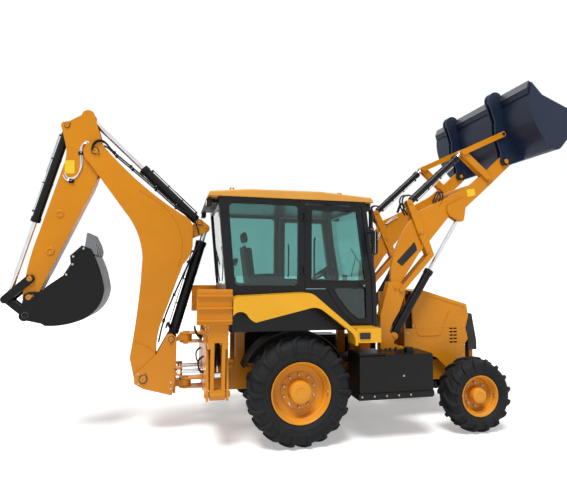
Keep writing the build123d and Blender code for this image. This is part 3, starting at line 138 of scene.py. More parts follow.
def new_group(name, inputs):
    """Shader group with an input for each default, and a surface's three outputs."""
    tree = bpy.data.node_groups.new(name, "ShaderNodeTree")
    for label, default in inputs.items():
        kind = "NodeSocketColor" if isinstance(default, tuple) else "NodeSocketFloat"
        socket = tree.interface.new_socket(label, in_out="INPUT", socket_type=kind)
        socket.default_value = default
    for label, kind in (("Colour", "Color"), ("Roughness", "Float"), ("Normal", "Vector")):
        tree.interface.new_socket(label, in_out="OUTPUT", socket_type=f"NodeSocket{kind}")
    nodes = Nodes(tree)
    return nodes, nodes.add("NodeGroupInput").outputs, nodes.add("NodeGroupOutput")


@cache
def paint_group():
    """Painted steel: slow shade variation, dust low down, chipped edges and a fine orange peel."""
    nodes, given, put = new_group("painted_steel", {
        "Paint": (0.5, 0.5, 0.5, 1), "Chip": (0.12, 0.10, 0.09, 1), "Dust": colour(150, 128, 96),
        "Gloss": 0.3, "Dust Amount": 0.35, "Dust Height": 1.4, "Chip Amount": 0.5,
        "Edge Radius": 0.005, "Peel": 0.08})
    place = nodes.place()
    slow = nodes.noise(place, 1.7, 3.0)
    blotch = nodes.noise(place, 9.0, 5.0, 0.62)
    fine = nodes.noise(place, 46.0, 6.0, 0.7)
    bevel = nodes.bevel(given["Edge Radius"])
    flat = nodes.add("ShaderNodeNewGeometry").outputs["Normal"]
    dot = nodes.add("ShaderNodeVectorMath", {0: bevel, 1: flat}, operation="DOT_PRODUCT")
    edge = nodes.ramp(dot.outputs["Value"], 0.985, 0.86)
    broken = nodes.ramp(nodes.plus(nodes.times(fine, 0.6), nodes.times(blotch, 0.4)), 0.52, 0.60)
    chip = nodes.times(nodes.times(edge, broken, True), given["Chip Amount"], True)
    height = nodes.add("ShaderNodeSeparateXYZ", {0: place}).outputs["Z"]
    low = nodes.ramp(height, given["Dust Height"], 0.0)
    dusty = nodes.times(nodes.ramp(blotch, 0.35, 0.75), low)
    dusty = nodes.times(nodes.plus(dusty, nodes.times(low, 0.3)), given["Dust Amount"], True)
    haze = nodes.times(nodes.ramp(blotch, 0.45, 0.8, 0.0, 0.12), given["Dust Amount"], True)
    shade = nodes.mix(nodes.ramp(slow, 0.3, 0.7, 0.0, 0.10), given["Paint"], BLACK)
    shade = nodes.mix(dusty, nodes.mix(haze, shade, given["Dust"]), given["Dust"])
    rough = nodes.plus(given["Gloss"], nodes.ramp(blotch, 0.3, 0.7, -0.03, 0.07))
    rough = nodes.plus(rough, nodes.times(dusty, 0.5))
    peel = nodes.noise(place, 240.0, 2.0)
    nodes.feed(put, {"Colour": nodes.mix(chip, shade, given["Chip"]),
                     "Roughness": nodes.plus(rough, nodes.times(chip, 0.3), True),
                     "Normal": nodes.bump(peel, given["Peel"], 0.0006, bevel)})
    return nodes.tree


@cache
def grain_group():
    """Moulded or cast surface: fine grain with dust in its hollows."""
    nodes, given, put = new_group("moulded_grain", {
        "Base": (0.05, 0.05, 0.05, 1), "Dust": colour(140, 125, 100), "Dust Amount": 0.2,
        "Grain Scale": 320.0, "Grain Depth": 0.3, "Roughness": 0.6})
    place = nodes.place()
    patch = nodes.noise(place, 6.0, 5.0, 0.6)
    grain = nodes.noise(place, given["Grain Scale"], 3.0)
    dusty = nodes.times(nodes.ramp(patch, 0.4, 0.75), given["Dust Amount"], True)
    shade = nodes.mix(nodes.ramp(grain, 0.3, 0.7, 0.0, 0.25), given["Base"], BLACK)
    rough = nodes.plus(given["Roughness"], nodes.ramp(patch, 0.3, 0.7, -0.08, 0.10), True)
    nodes.feed(put, {"Colour": nodes.mix(dusty, shade, given["Dust"]), "Roughness": rough,
                     "Normal": nodes.bump(grain, given["Grain Depth"], 0.0008,
                                          nodes.bevel(0.003))})
    return nodes.tree


def start_material(name):
    """New material with its node helper and its Principled shader."""
    material = bpy.data.materials.new(name)
    material.use_nodes = True
    return material, Nodes(material.node_tree), material.node_tree.nodes["Principled BSDF"]


def grouped(name, tree, values, shader_values):
    """Material whose colour, roughness and normal come from a shared group."""
    material, nodes, shader = start_material(name)
    made = nodes.add("ShaderNodeGroup", values, node_tree=tree).outputs
    nodes.feed(shader, {"Base Color": made["Colour"], "Roughness": made["Roughness"],
                        "Normal": made["Normal"], **shader_values})
    return material


def painted(name, tone, gloss, coat, chip, dust, specular=0.24, edge=0.005,
            bare=(0.12, 0.10, 0.09, 1)):
    """Painted steel with a clear coat, in a colour or the setting that holds it."""
    if isinstance(tone, str):
        tone = getattr(bpy.context.scene.backhoe_paint, tone)[:]
    return grouped(name, paint_group(), {
        "Paint": tone, "Gloss": gloss, "Dust Amount": dust, "Chip Amount": chip,
        "Edge Radius": edge, "Chip": bare,
    }, {"Specular IOR Level": specular, "Coat Weight": coat, "Coat Roughness": 0.12})


def moulded(name, base, rough, grain, depth, dust, specular=0.28):
    """Plastic, rubber, cloth or cast surface."""
    return grouped(name, grain_group(), {
        "Base": base, "Roughness": rough, "Grain Scale": grain, "Grain Depth": depth,
        "Dust Amount": dust}, {"Specular IOR Level": specular})


def bare_metal(name, shade, rough, scratch=0.4, scale=90.0):
    """Bright or worn bare metal with drawn scratches."""
    material, nodes, shader = start_material(name)
    place = nodes.place()
    streak = nodes.noise(place, scale, 4.0, 0.7)
    patch = nodes.noise(place, 8.0, 4.0)
    worn = nodes.ramp(patch, 0.35, 0.75, 0.0, 0.22)
    drawn = nodes.ramp(streak, 0.3, 0.7, rough * 0.7, rough * 1.4)
    nodes.feed(shader, {
        "Base Color": nodes.mix(worn, shade, (0.1, 0.09, 0.08, 1)), "Metallic": 1.0,
        "Roughness": nodes.plus(drawn, nodes.ramp(patch, 0.4, 0.8, 0.0, 0.08), True),
        "Normal": nodes.bump(streak, scratch * 0.2, 0.0004)})
    return material


def tyre_rubber():
    """Dark rubber with paler dusty patches."""
    material, nodes, shader = start_material("tyre_rubber")
    place = nodes.place()
    patch = nodes.noise(place, 5.0, 6.0, 0.65)
    grain = nodes.noise(place, 260.0, 3.0)
    nodes.feed(shader, {
        "Base Color": nodes.mix(nodes.ramp(patch, 0.35, 0.8, 0.0, 0.5), colour(18, 20, 23),
                                colour(52, 51, 50)),
        "Roughness": nodes.ramp(patch, 0.3, 0.8, 0.62, 0.9), "Specular IOR Level": 0.2,
        "Normal": nodes.bump(grain, 0.35, 0.001, nodes.bevel(0.008))})
    return material


def tinted_glass():
    """Thin tinted pane with faint smears."""
    material, nodes, shader = start_material("cab_pane")
    smear = nodes.noise(nodes.place(), 7.0, 5.0, 0.6)
    nodes.feed(shader, {
        "Base Color": nodes.mix(nodes.ramp(smear, 0.4, 0.8, 0.0, 0.15), colour(146, 194, 190),
                                colour(180, 204, 200)),
        "Roughness": nodes.ramp(smear, 0.4, 0.8, 0.02, 0.07), "Transmission Weight": 1.0,
        "IOR": 1.06, "Coat Weight": 0.9, "Coat Roughness": 0.03})
    return material


FINISHES = {
    # painted: material, colour or setting, gloss, coat, chips, dust, specular, edge, bare
    "yellow": (painted, "yellow_paint", "body", 0.28, 0.05, 0.35, 0.18),
    # fenders: the body's yellow made lighter, a painted highlight for their upward faces
    "fender": (painted, "fender_paint", "fender", 0.28, 0.1, 0.2, 0.12),
    "roof": (painted, "roof_paint", "roof", 0.4, 0.05, 0.2, 0.12),
    "rim": (painted, "rim_paint", "rim", 0.34, 0.06, 0.5, 0.25),
    "black": (painted, "black_paint", "black", 0.36, 0.03, 0.25, 0.02, 0.2),
    "cab": (painted, "cab_paint", "cab", 0.3, 0.08, 0.1, 0.04),
    "navy": (painted, "bucket_paint", "bucket", 0.38, 0.06, 0.5, 0.06, 0.24, 0.008,
             colour(120, 112, 104)),
    "gloss_black": (painted, "plate_black", colour(16, 16, 18), 0.18, 0.4, 0.1, 0.1),
    "sign": (painted, "patch_yellow", colour(236, 196, 38), 0.3, 0.3, 0.1, 0.1),
    # bare metal: material, colour, roughness, depth and scale of its scratches
    "chrome": (bare_metal, "chromed_rod", colour(226, 229, 233), 0.10, 0.1, 140.0),
    "steel": (bare_metal, "worn_steel", colour(120, 122, 128), 0.38),
    "zinc": (bare_metal, "plated_fastener", colour(190, 186, 172), 0.3),
    "mirror": (bare_metal, "mirror_face", colour(214, 220, 224), 0.05, 0.02),
    # moulded: material, colour, roughness, scale and depth of the grain, dust, specular
    "plastic": (moulded, "black_plastic", colour(22, 23, 26), 0.55, 320.0, 0.3, 0.12),
    "rubber": (moulded, "hose_rubber", colour(18, 19, 21), 0.62, 420.0, 0.2, 0.06),
    "cast": (moulded, "cast_iron", colour(70, 70, 72), 0.62, 160.0, 0.5, 0.25),
    "lens": (moulded, "lamp_lens", colour(222, 226, 228), 0.12, 60.0, 0.4, 0.05),
    "cloth": (moulded, "seat_cloth", colour(52, 54, 60), 0.9, 520.0, 0.6, 0.05, 0.2),
    "tyre": (tyre_rubber,),
    "glass": (tinted_glass,),
}


@cache
def finish_named(name):
    """Material by its plain name, built on first use."""
    maker, *values = FINISHES[name]
    return maker(*values)


# ------------------------------------------------------------------ settings
def colour_property(label, text, *values):
    """Colour setting with a display colour, 0 to 255, as its default."""
    return FloatVectorProperty(name=label, description=f"Paint of the {text}", subtype="COLOR",
                               size=4, min=0, max=1, default=colour(*values))


def angle_property(label, text, degrees):
    """Angle setting."""
    return FloatProperty(name=label, description=text, subtype="ANGLE",
                         default=math.radians(degrees))


class BackhoePaint(PropertyGroup):
    """Colours of the painted surfaces"""

    body: colour_property("Body", "frame, arms, hood and stabilizers", 206, 130, 10)
    # Fenders: lighter than the body's paint, a painted highlight for their upward faces
    fender: colour_property("Fenders", "fenders and their steps", 226, 164, 26)
    roof: colour_property("Roof", "cab's roof", 212, 152, 66)
    rim: colour_property("Rims", "wheel discs", 220, 142, 16)
    black: colour_property("Black Parts", "cylinders, tanks and levers", 11, 12, 14)
    cab: colour_property("Cab", "cab's frame and doors", 8, 10, 14)
    bucket: colour_property("Bucket", "loader bucket", 24, 36, 58)


class BackhoeStage(PropertyGroup):
    """Camera and lights"""

    camera_place: FloatVectorProperty(
        name="Camera", description="Place of the camera", subtype="TRANSLATION", unit="LENGTH",
        default=(-1.7089, -6.268, 2.0428))
    lens: FloatProperty(name="Lens", description="Focal length in millimetres", default=28.87)
    heading: angle_property("Heading", "Turn of the view to the right", 13.059)
    rise: angle_property("Rise", "Upward tilt of the view", 4.010)
    roll: angle_property("Roll", "Roll of the view", 0.416)
    sun: FloatProperty(name="Sun", description="Strength of the main light", default=3.2)
    sky: FloatProperty(name="Sky", description="Strength of the light from all round",
                       default=0.40)


NODE_FINISH = {
    "yellow": "main_frame rear_frame cowl hood loader_arms mid_levers level_links front_levers"
              " bucket_links swing_post boom dipper stabilizer",
    "black": "axles side_tanks exhaust knuckle lift_barrels tilt_barrels boom_barrel"
             " dipper_barrel bucket_barrel tipping_levers tipping_links backhoe_bucket"
             " stabilizer_barrel",
    "chrome": "lift_rods tilt_rods swing_rod boom_rod dipper_rod bucket_rod stabilizer_rod",
    "plastic": "grille controls cab_fittings",
    # the fenders take the lighter yellow, a painted highlight
    "cast": "engine", "fender": "fenders", "cab": "cab_frame door", "glass": "cab_glass door_glass",
    "roof": "cab_roof", "cloth": "seat", "navy": "loader_bucket", "rim": "wheel", "tyre": "tyre",
}


class BACKHOE_OT_finish_frame(Operator):
    """Give every CAD node its paint, metal, rubber or glass"""

    bl_idname = "backhoe.finish_frame"
    bl_label = "Finish Frame"

    def execute(self, context):
        finish_of = {key: name for name, keys in NODE_FINISH.items() for key in keys.split()}
        for name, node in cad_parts.items():
            while name not in finish_of:
                name = name.rsplit("_", 1)[0]
            node.data.materials.clear()
            node.data.materials.append(finish_named(finish_of[name]))
        return {"FINISHED"}


# ------------------------------------------------------------------ mesh helpers
def basis(axis):
    """Two unit vectors square to an axis."""
    first = UP.cross(axis)
    if first.length < 1e-3:
        first = Vector((1, 0, 0)).cross(axis)
    first.normalize()
    return first, axis.cross(first)


def lathe(bm, rows, origin, axis, segments=32, closed=False, index=0):
    """Turned surface: rows of (radius, distance along the axis)."""
    origin, axis = Vector(origin), Vector(axis).normalized()
    across, up = basis(axis)
    rings = []
    for radius, along in rows:
        middle = origin + axis * along
        count = segments if radius > 0.01 else 1
        angles = [2 * math.pi * step / count for step in range(count)]
        rings.append([bm.verts.new(middle + (across * math.cos(a) + up * math.sin(a)) * radius)
                      for a in angles])
    pairs = list(zip(rings, rings[1:]))
    if closed:
        pairs.append((rings[-1], rings[0]))
    for low, high in pairs:
        if len(low) == len(high) == 1:
            continue
        for step in range(segments):
            nxt = (step + 1) % segments
            corners = [low[step % len(low)], low[nxt % len(low)],
                       high[nxt % len(high)], high[step % len(high)]]
            bm.faces.new(list(dict.fromkeys(corners))).material_index = index


def washer(bm, place, axis, inner, outer, height, segments=40, index=0):
    """Flat ring that stands on a place."""
    lathe(bm, [(inner, 0), (outer, 0), (outer, height), (inner, height)], place, axis, segments,
          closed=True, index=index)


def rod(bm, start, end, radius, segments=16, index=0):
    """Round bar between two points, with chamfered ends."""
    start, end = Vector(start), Vector(end)
    length = (end - start).length
    cut = min(radius, length) * 0.2
    lathe(bm, [(0, 0), (radius - cut, 0), (radius, cut), (radius, length - cut),
               (radius - cut, length), (0, length)], start, end - start, segments, index=index)


def bolt(bm, place, aim, size, index=0):
    """Hexagon bolt head on its washer, standing on a surface."""
    aim = Vector(aim).normalized()
    lathe(bm, [(0, 0), (size * 0.95, 0), (size * 0.95, size * 0.16), (0, size * 0.16)],
          place, aim, 14, index=index)
    lathe(bm, [(0, 0), (size * 0.72, 0), (size * 0.72, size * 0.5), (size * 0.6, size * 0.6),
               (0, size * 0.6)], Vector(place) + aim * size * 0.16, aim, 6, index=index)


def bolts(bm, rows, y, size, index, aim=RIGHT):
    """Bolts at (x, z) rows on a plane y."""
    for place in level(rows, y):
        bolt(bm, place, aim, size, index)


def level(rows, y):
    """Points of (x, z) rows on a plane y."""
    return [(x, y, z) for x, z in rows]


def soften(bm, edges, offset, segments=2):
    """Round edges off."""
    bmesh.ops.bevel(bm, geom=list(edges), offset=offset, segments=segments, affect="EDGES",
                    clamp_overlap=True, material=-1)


def loft(bm, rings, index=0):
    """Closed solid over rings of points, each with the same number of corners."""
    rings = [[bm.verts.new(point) for point in ring] for ring in rings]
    faces = [bm.faces.new(rings[0]), bm.faces.new(rings[-1][::-1])]
    for low, high in zip(rings, rings[1:]):
        for step in range(len(low)):
            faces.append(bm.faces.new((low[step - 1], high[step - 1], high[step], low[step])))
    for face in faces:
        face.material_index = index
    return faces


def rounded(rows, radius, steps=5):
    """Outline of (x, z) rows with its corners rounded."""
    out = []
    for before, corner, after in zip(rows[-1:] + rows[:-1], rows, rows[1:] + rows[:1]):
        corner = Vector(corner)
        first, second = Vector(before) - corner, Vector(after) - corner
        cut = min(radius, first.length * 0.45, second.length * 0.45)
        start, end = corner + first.normalized() * cut, corner + second.normalized() * cut
        for step in range(steps + 1):
            part = step / steps
            out.append(tuple(start * (1 - part) ** 2 + corner * 2 * part * (1 - part)
                             + end * part ** 2))
    return out


def prism(bm, outline, low, high, index=0, bevel=0.0, corner=0.0):
    """Plate with a side-view outline of (x, z) rows between two widths y."""
    if corner:
        outline = rounded(outline, corner)
    faces = loft(bm, [level(outline, low), level(outline, high)], index)
    if bevel:
        soften(bm, {edge for face in faces[:2] for edge in face.edges}, bevel)


def block(bm, low, high, index=0, bevel=4.0):
    """Box between two corners with rounded edges."""
    low, high = ([pick(pair) for pair in zip(low, high)] for pick in (min, max))
    made = bmesh.ops.create_cube(bm, size=1.0)["verts"]
    for vert in made:
        vert.co = [low[i] + (vert.co[i] + 0.5) * (high[i] - low[i]) for i in range(3)]
    for face in {face for vert in made for face in vert.link_faces}:
        face.material_index = index
    soften(bm, {edge for vert in made for edge in vert.link_edges}, bevel)


def join(bm, mesh, index=0):
    """Add a finished mesh to bmesh data."""
    before = len(bm.faces)
    bm.from_mesh(mesh)
    bm.faces.ensure_lookup_table()
    for face in bm.faces[before:]:
        face.material_index = index
    bpy.data.meshes.remove(mesh)


def sweep(bm, points, radius, index=0, closed=False):
    """Hose or pipe on a smooth line through control points, or a closed bead on straight ones."""
    curve = bpy.data.curves.new("line", "CURVE")
    curve.dimensions = "3D"
    curve.bevel_depth = radius
    curve.bevel_resolution = 2 if closed else 3
    curve.use_fill_caps = not closed
    spline = curve.splines.new("POLY" if closed else "NURBS")
    spline.points.add(len(points) - 1)
    for point, place in zip(spline.points, points):
        point.co = (*place, 1)
    spline.use_cyclic_u = closed
    if not closed:
        spline.order_u = 3 if len(points) < 4 else 4
        spline.use_endpoint_u = True
        spline.resolution_u = 10
    holder = bpy.data.objects.new("line", curve)
    join(bm, bpy.data.meshes.new_from_object(holder), index)
    bpy.data.objects.remove(holder)
    bpy.data.curves.remove(curve)


def link_object(name, data):
    """New object in the scene."""
    made = bpy.data.objects.new(name, data)
    bpy.context.scene.collection.objects.link(made)
    return made


@cache
def spread_tree():
    """Node tree that repeats its geometry along a step and about an axis."""
    tree = bpy.data.node_groups.new("spread_copies", "GeometryNodeTree")
    for label, kind in (("Geometry", "Geometry"), ("Count", "Int"), ("Step", "Vector"),
                        ("Centre", "Vector"), ("Axis", "Vector"), ("Turn", "Float"),
                        ("Start", "Float"), ("Material", "Material")):
        tree.interface.new_socket(label, in_out="INPUT", socket_type=f"NodeSocket{kind}")
    tree.interface.new_socket("Geometry", in_out="OUTPUT", socket_type="NodeSocketGeometry")
    nodes = Nodes(tree)
    given = nodes.add("NodeGroupInput").outputs

    def made(kind, values, **settings):
        return nodes.add(kind, values, **settings).outputs[0]

    count = made("GeometryNodeInputIndex", {})
    shift = made("ShaderNodeVectorMath", {0: given["Step"], "Scale": count}, operation="SCALE")
    place = made("ShaderNodeVectorMath", {0: given["Centre"], 1: shift})
    points = made("GeometryNodePoints", {"Count": given["Count"], "Position": place})
    angle = made("ShaderNodeMath", {0: count, 1: given["Turn"], 2: given["Start"]},
                 operation="MULTIPLY_ADD")
    turn = made("FunctionNodeAxisAngleToRotation", {"Axis": given["Axis"], "Angle": angle})
    back = made("ShaderNodeVectorMath", {0: given["Centre"], "Scale": -1.0}, operation="SCALE")
    moved = made("GeometryNodeTransform", {"Geometry": given["Geometry"], "Translation": back})
    copies = made("GeometryNodeInstanceOnPoints",
                  {"Points": points, "Instance": moved, "Rotation": turn})
    real = made("GeometryNodeRealizeInstances", {0: copies})
    finished = made("GeometryNodeSetMaterial", {"Geometry": real, "Material": given["Material"]})
    nodes.add("NodeGroupOutput", {0: finished})
    return tree


def spread(bm, item, finish, count, step=(0, 0, 0), centre=(0, 0, 0), axis=(0, 1, 0), turn=0.0,
           start=0.0, index=0):
    """Add count copies of a small bmesh item, repeated by Geometry Nodes."""
    mesh = bpy.data.meshes.new("item")
    item.to_mesh(mesh)
    item.free()
    holder = link_object("item", mesh)
    modifier = holder.modifiers.new("spread", "NODES")
    modifier.node_group = spread_tree()
    values = {"Count": count, "Step": step, "Centre": centre, "Axis": axis, "Turn": turn,
              "Start": start, "Material": finish_named(finish)}
    for socket in modifier.node_group.interface.items_tree:
        if socket.in_out == "INPUT" and socket.name in values:
            modifier[socket.identifier] = values[socket.name]
    ready = holder.evaluated_get(bpy.context.evaluated_depsgraph_get())
    join(bm, bpy.data.meshes.new_from_object(ready), index)
    holder.modifiers.remove(modifier)
    bpy.data.objects.remove(holder)
    bpy.data.meshes.remove(mesh)


def twin(bm):
    """Add the left side as the mirror image of all that is there."""
    made = bmesh.ops.duplicate(bm, geom=bm.verts[:] + bm.edges[:] + bm.faces[:])["geom"]
    verts = [item for item in made if isinstance(item, bmesh.types.BMVert)]
    bmesh.ops.scale(bm, vec=(1, -1, 1), verts=verts)


def new_object(name, bm):
    """Object in the scene from a shape in millimetres."""
    bm.transform(TO_FRAME)
    bm.normal_update()
    bmesh.ops.recalc_face_normals(bm, faces=bm.faces)
    mesh = bpy.data.meshes.new(name)
    bm.to_mesh(mesh)
    bm.free()
    return link_object(name, mesh)


def piece(name, bm, finishes, body, stands_for=None, smooth=32.0):
    """Object with its named finishes that rides on a CAD body and may replace a node."""
    made = new_object(name, bm)
    for finish in finishes.split():
        made.data.materials.append(finish_named(finish))
    made.data.shade_smooth()
    made.data.set_sharp_from_angle(angle=math.radians(smooth))
    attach(made, body)
    if stands_for:
        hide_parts(stands_for)


# ------------------------------------------------------------------ wheels
def carcass(radius, half, rim):
    """Outer half section of a tyre from its crown to its bead: (radius, width) rows."""
    crown = radius - 30
    middle = (crown + rim) / 2
    wide = half * 0.93
    return [(crown, 0), (crown - 2, wide * 0.3), (crown - 9, wide * 0.55),
            (crown - 21, wide * 0.75), (crown - 43, wide * 0.89), (crown - 78, wide * 0.965),
            (middle + 20, wide), (middle, wide + 1), (middle - 4, wide + 4),
            (middle - 9, wide + 1), (rim + 62, wide * 0.985), (rim + 54, wide * 0.99),
            (rim + 47, wide * 0.965), (rim + 26, half * 0.87), (rim + 10, half * 0.775),
            (rim + 3, half * 0.72), (rim - 10, half * 0.70)]


def skin(rows, share):
    """Place and outward direction on a half section at a share of the tread's width."""
    wide = max(width for _, width in rows)
    target = share * wide
    shoulder = rows[6]
    if share > 1:
        return (shoulder[0] - (share - 1) * 300, shoulder[1]), (0.0, 1.0)
    for (r0, w0), (r1, w1) in zip(rows, rows[1:]):
        if w1 >= target:
            part = (target - w0) / (w1 - w0)
            run = Vector((r1 - r0, w1 - w0)).normalized()
            return (r0 + (r1 - r0) * part, target), (run[1], -run[0])
    return shoulder, (0.0, 1.0)


LUG_LEAN = 125
LUG_WIDTH = 52
LUG_ROOT = -12
LUG_PATH = (
    # share of the tread's half width, lean along the tread, lug height
    (0.03, 0.50, 30), (0.20, 0.40, 30), (0.42, 0.14, 31), (0.64, -0.16, 33),
    (0.82, -0.38, 34), (0.94, -0.47, 30), (0.995, -0.50, 16), (1.20, -0.50, 4),
)


def tyre_lug(rows, radius, side):
    """One bar lug of a tyre turned about Y at the origin, on one side of the tread."""
    bm = bmesh.new()
    rings = []
    for share, shift, height in LUG_PATH:
        (r, w), (out_r, out_w) = skin(rows, share)
        ring = []
        for lift, flank in ((LUG_ROOT, -0.62), (height, -0.44), (height, 0.44), (LUG_ROOT, 0.62)):
            far = min(r + out_r * lift, radius)
            angle = (shift * LUG_LEAN + flank * LUG_WIDTH) / radius
            across = side * min(w + out_w * lift, rows[8][1] + 12)
            ring.append((far * math.sin(angle), across, far * math.cos(angle)))
        rings.append(ring)
    loft(bm, rings)
    soften(bm, bm.edges, 4, 1)
    return bm


WHEELS = (
    # name, lugs, rim radius, hub radius, disc, hub face, wheel nuts, their circle
    ("rear", 18, 364, 132, 4, 148, 10, 192),
    ("front", 16, 265, 98, -12, 138, 8, 150),
)


class BACKHOE_OT_wheels(Operator):
    """Lugged tyres on dished disc wheels with their nuts and valves"""

    bl_idname = "backhoe.wheels"
    bl_label = "Wheels"

    def execute(self, context):
        for name, lugs, rim, *disc in WHEELS:
            for hand, side in SIDES:
                low, high = (TO_FRAME.inverted() @ corner for corner in
                             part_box(f"tyre_{name}_{hand}"))
                middle, half = (low + high) / 2, (high.y - low.y) / 2
                tyre(f"{name}_{hand}", middle, half, lugs, rim)
                wheel(f"{name}_{hand}", middle, Vector((0, side, 0)), half * 0.8, rim, *disc)
        return {"FINISHED"}


def tyre(name, middle, half, lugs, rim):
    """Lugged tyre round a wheel: half is half its width."""
    radius = middle.z
    rows = carcass(radius, half, rim)
    bm = bmesh.new()
    section = rows + [(r, -w) for r, w in reversed(rows[1:])]
    lathe(bm, section, (0, 0, 0), (0, 1, 0), 96, closed=True)
    pitch = 2 * math.pi / lugs
    for side in (-1, 1):
        spread(bm, tyre_lug(rows, radius - 1, side), "tyre", lugs, turn=pitch,
               start=side * pitch / 4)
    bmesh.ops.translate(bm, verts=bm.verts, vec=middle)
    piece(f"lugged_tyre_{name}", bm, "tyre", f"wheel_{name}", f"tyre_{name}", 40)


def wheel(name, middle, out, edge, rim, hub, disc, face, nuts, circle):
    """Dished disc in its rim: edge, disc and face lie that far out from the middle."""
    bm = bmesh.new()
    rows = [(rim, edge - 14), (rim, edge - 3), (rim - 3, edge), (rim - 13, edge),
            (rim - 18, edge - 5), (rim - 21, edge - 20), (rim - 30, edge - 36),
            (rim - 34, edge - 75), (rim - 46, edge - 84), (rim - 52, disc + 40),
            (rim - 66, disc + 12), (rim - 90, disc + 2), (circle + 34, disc),
            (circle + 28, disc + 9), (hub + 26, disc + 10), (hub + 12, disc + 14),
            (hub + 2, disc + 30), (hub, face - 20), (hub - 6, face - 6), (hub - 18, face),
            (hub * 0.45, face + 1), (hub * 0.43, face - 3), (0, face - 3)]
    back = [(0, disc - 30), (rim - 50, disc - 30), (rim - 34, 20 - edge), (rim - 20, -edge),
            (rim, -edge), (rim, 14 - edge), (rim - 12.5, 14 - edge), (rim - 12.5, edge - 14)]
    lathe(bm, rows + back, middle, out, 72, closed=True)
    nut = bmesh.new()
    spot = middle + out * (disc + 9) + UP * circle
    lathe(nut, [(0, 0), (19, 0), (19, 4), (16, 7), (16, 22), (13, 25), (0, 25)], spot, out, 6)
    rod(nut, spot + out * 20, spot + out * 42, 9, 10)
    spread(bm, nut, "zinc", nuts, centre=middle, turn=2 * math.pi / nuts, index=1)
    rod(bm, middle + Vector((rim - 45, out.y * (edge - 50), 0)),
        middle + Vector((rim - 40, out.y * (edge - 12), 0)), 6, 8, 1)
    piece(f"dished_wheel_{name}", bm, "rim zinc", f"wheel_{name}",
          f"wheel_{name}", 28)


# ------------------------------------------------------------------ cylinders
RAMS = (
    # body, base pin, eye pin, widths, barrel radius and length, rod radius, pipe side, share, look
    ("lift", (1404, 1221), (2440, 2860), (-545, 545), 56, 1048, 29, -1, 0.55, "rubber"),
    ("tilt", (1658, 3039), (2508, 3804), (-545, 545), 48, 1030, 25, 1, 0.9, "chrome"),
    ("boom", (-1505, 1193), (-1092, 2649), (0,), 66, 1330, 34, -1, 0.88, "rubber"),
    ("dipper", (-1172, 2724), (-2624, 4077), (0,), 60, 1030, 32, 1, 0.9, "black"),
    ("bucket", (-2869, 3918), (-3481, 1710), (0,), 52, 1291, 28, 1, 0.9, "chrome"),
)


class BACKHOE_OT_cylinders(Operator):
    """Glands, weld rings, ports and hard lines of the hydraulic cylinders"""

    bl_idname = "backhoe.cylinders"
    bl_label = "Cylinders"

    def execute(self, context):
        for name, base, eye, widths, radius, length, bar, side, share, look in RAMS:
            bm = bmesh.new()
            for y in widths:
                start, end = (Vector(point) for point in level((base, eye), y))
                axis = (end - start).normalized()
                up = Vector((0, 1, 0)).cross(axis) * side
                cylinder_trim(bm, start, axis, up, radius, length, bar, share)
            plural = "s" if len(widths) > 1 else ""
            piece(f"{name}_cylinder_trim", bm, f"black {look} black", f"{name}_barrel{plural}")
        return {"FINISHED"}


def cylinder_trim(bm, start, axis, up, radius, length, bar, share):
    """Gland, weld ring, ports and pipes of one barrel; up is the side of its pipes."""
    lathe(bm, [(bar + 1, 0), (radius + 7, 0), (radius + 7, 42), (radius + 2, 48),
               (radius + 2, 60), (radius - 4, 64), (bar + 6, 64), (bar + 5, 68), (bar + 1, 68)],
          start + axis * (length - 60), axis, 40, closed=True)
    lathe(bm, [(radius - 4, 0), (radius + 5, 4), (radius + 5, 12), (radius - 4, 16)],
          start + axis * 100, axis, 40, closed=True)
    height = radius + 18
    low, high = start + axis * 130, start + axis * (length * share)
    across = axis.cross(up) * 14
    for place in (low, high):
        rod(bm, place + up * (radius - 6), place + up * (height + 6), 15, 6)
    line = [place + up * (height + lift) for place, lift in (
        (low, 0), (low + axis * 20, 4), (low + axis * 70, 0), ((low + high) / 2, 0),
        (high - axis * 70, 0), (high - axis * 20, 4), (high, 0))]
    for shift, points in ((-1, line[:4]), (1, line)):
        sweep(bm, [point + across * shift for point in points], 6, 1)
    for part in (0.3, 0.62):
        place = low.lerp(high, part)
        washer(bm, place, axis, radius - 2, radius + 3, 22, index=2)
        rod(bm, place + up * radius + axis * 11, place + up * (height + 9) + axis * 11, 8, 6, 2)


# ------------------------------------------------------------------ pins
PINS = (
    # body, pin centre, outer face from the middle, pin radius, keeper's direction
    ("loader_arms", (3218, 3719), 599, 30, (0.5, -0.85)),
    ("loader_arms", (2936, 3446), 599, 26, (-0.75, -0.65)),
    ("loader_arms", (1830, 2641), 599, 30, (-0.6, -0.8)),
    ("loader_bucket", (3164, 4113), 605, 24, (0.5, 0.85)),
    ("boom", (-2519, 3605), 130, 34, (0.75, -0.65)),
    ("boom", (-1092, 2649), 60, 30, (-0.7, 0.7)),
    ("boom", (-1172, 2724), 66, 24, (-0.3, 0.95)),
    ("swing_post", (-1844, 698), 167, 36, (0.4, 0.9)),
    ("swing_post", (-1505, 1193), 162, 28, (-0.2, -1.0)),
    ("dipper", (-3215, 1960), 121, 26, (0.1, 1.0)),
    ("dipper", (-3215, 1735), 121, 28, (0.9, 0.4)),
    ("dipper", (-2869, 3918), 93, 24, (0.7, 0.7)),
    ("backhoe_bucket", (-3250, 1518), 121, 26, (0.9, -0.4)),
)


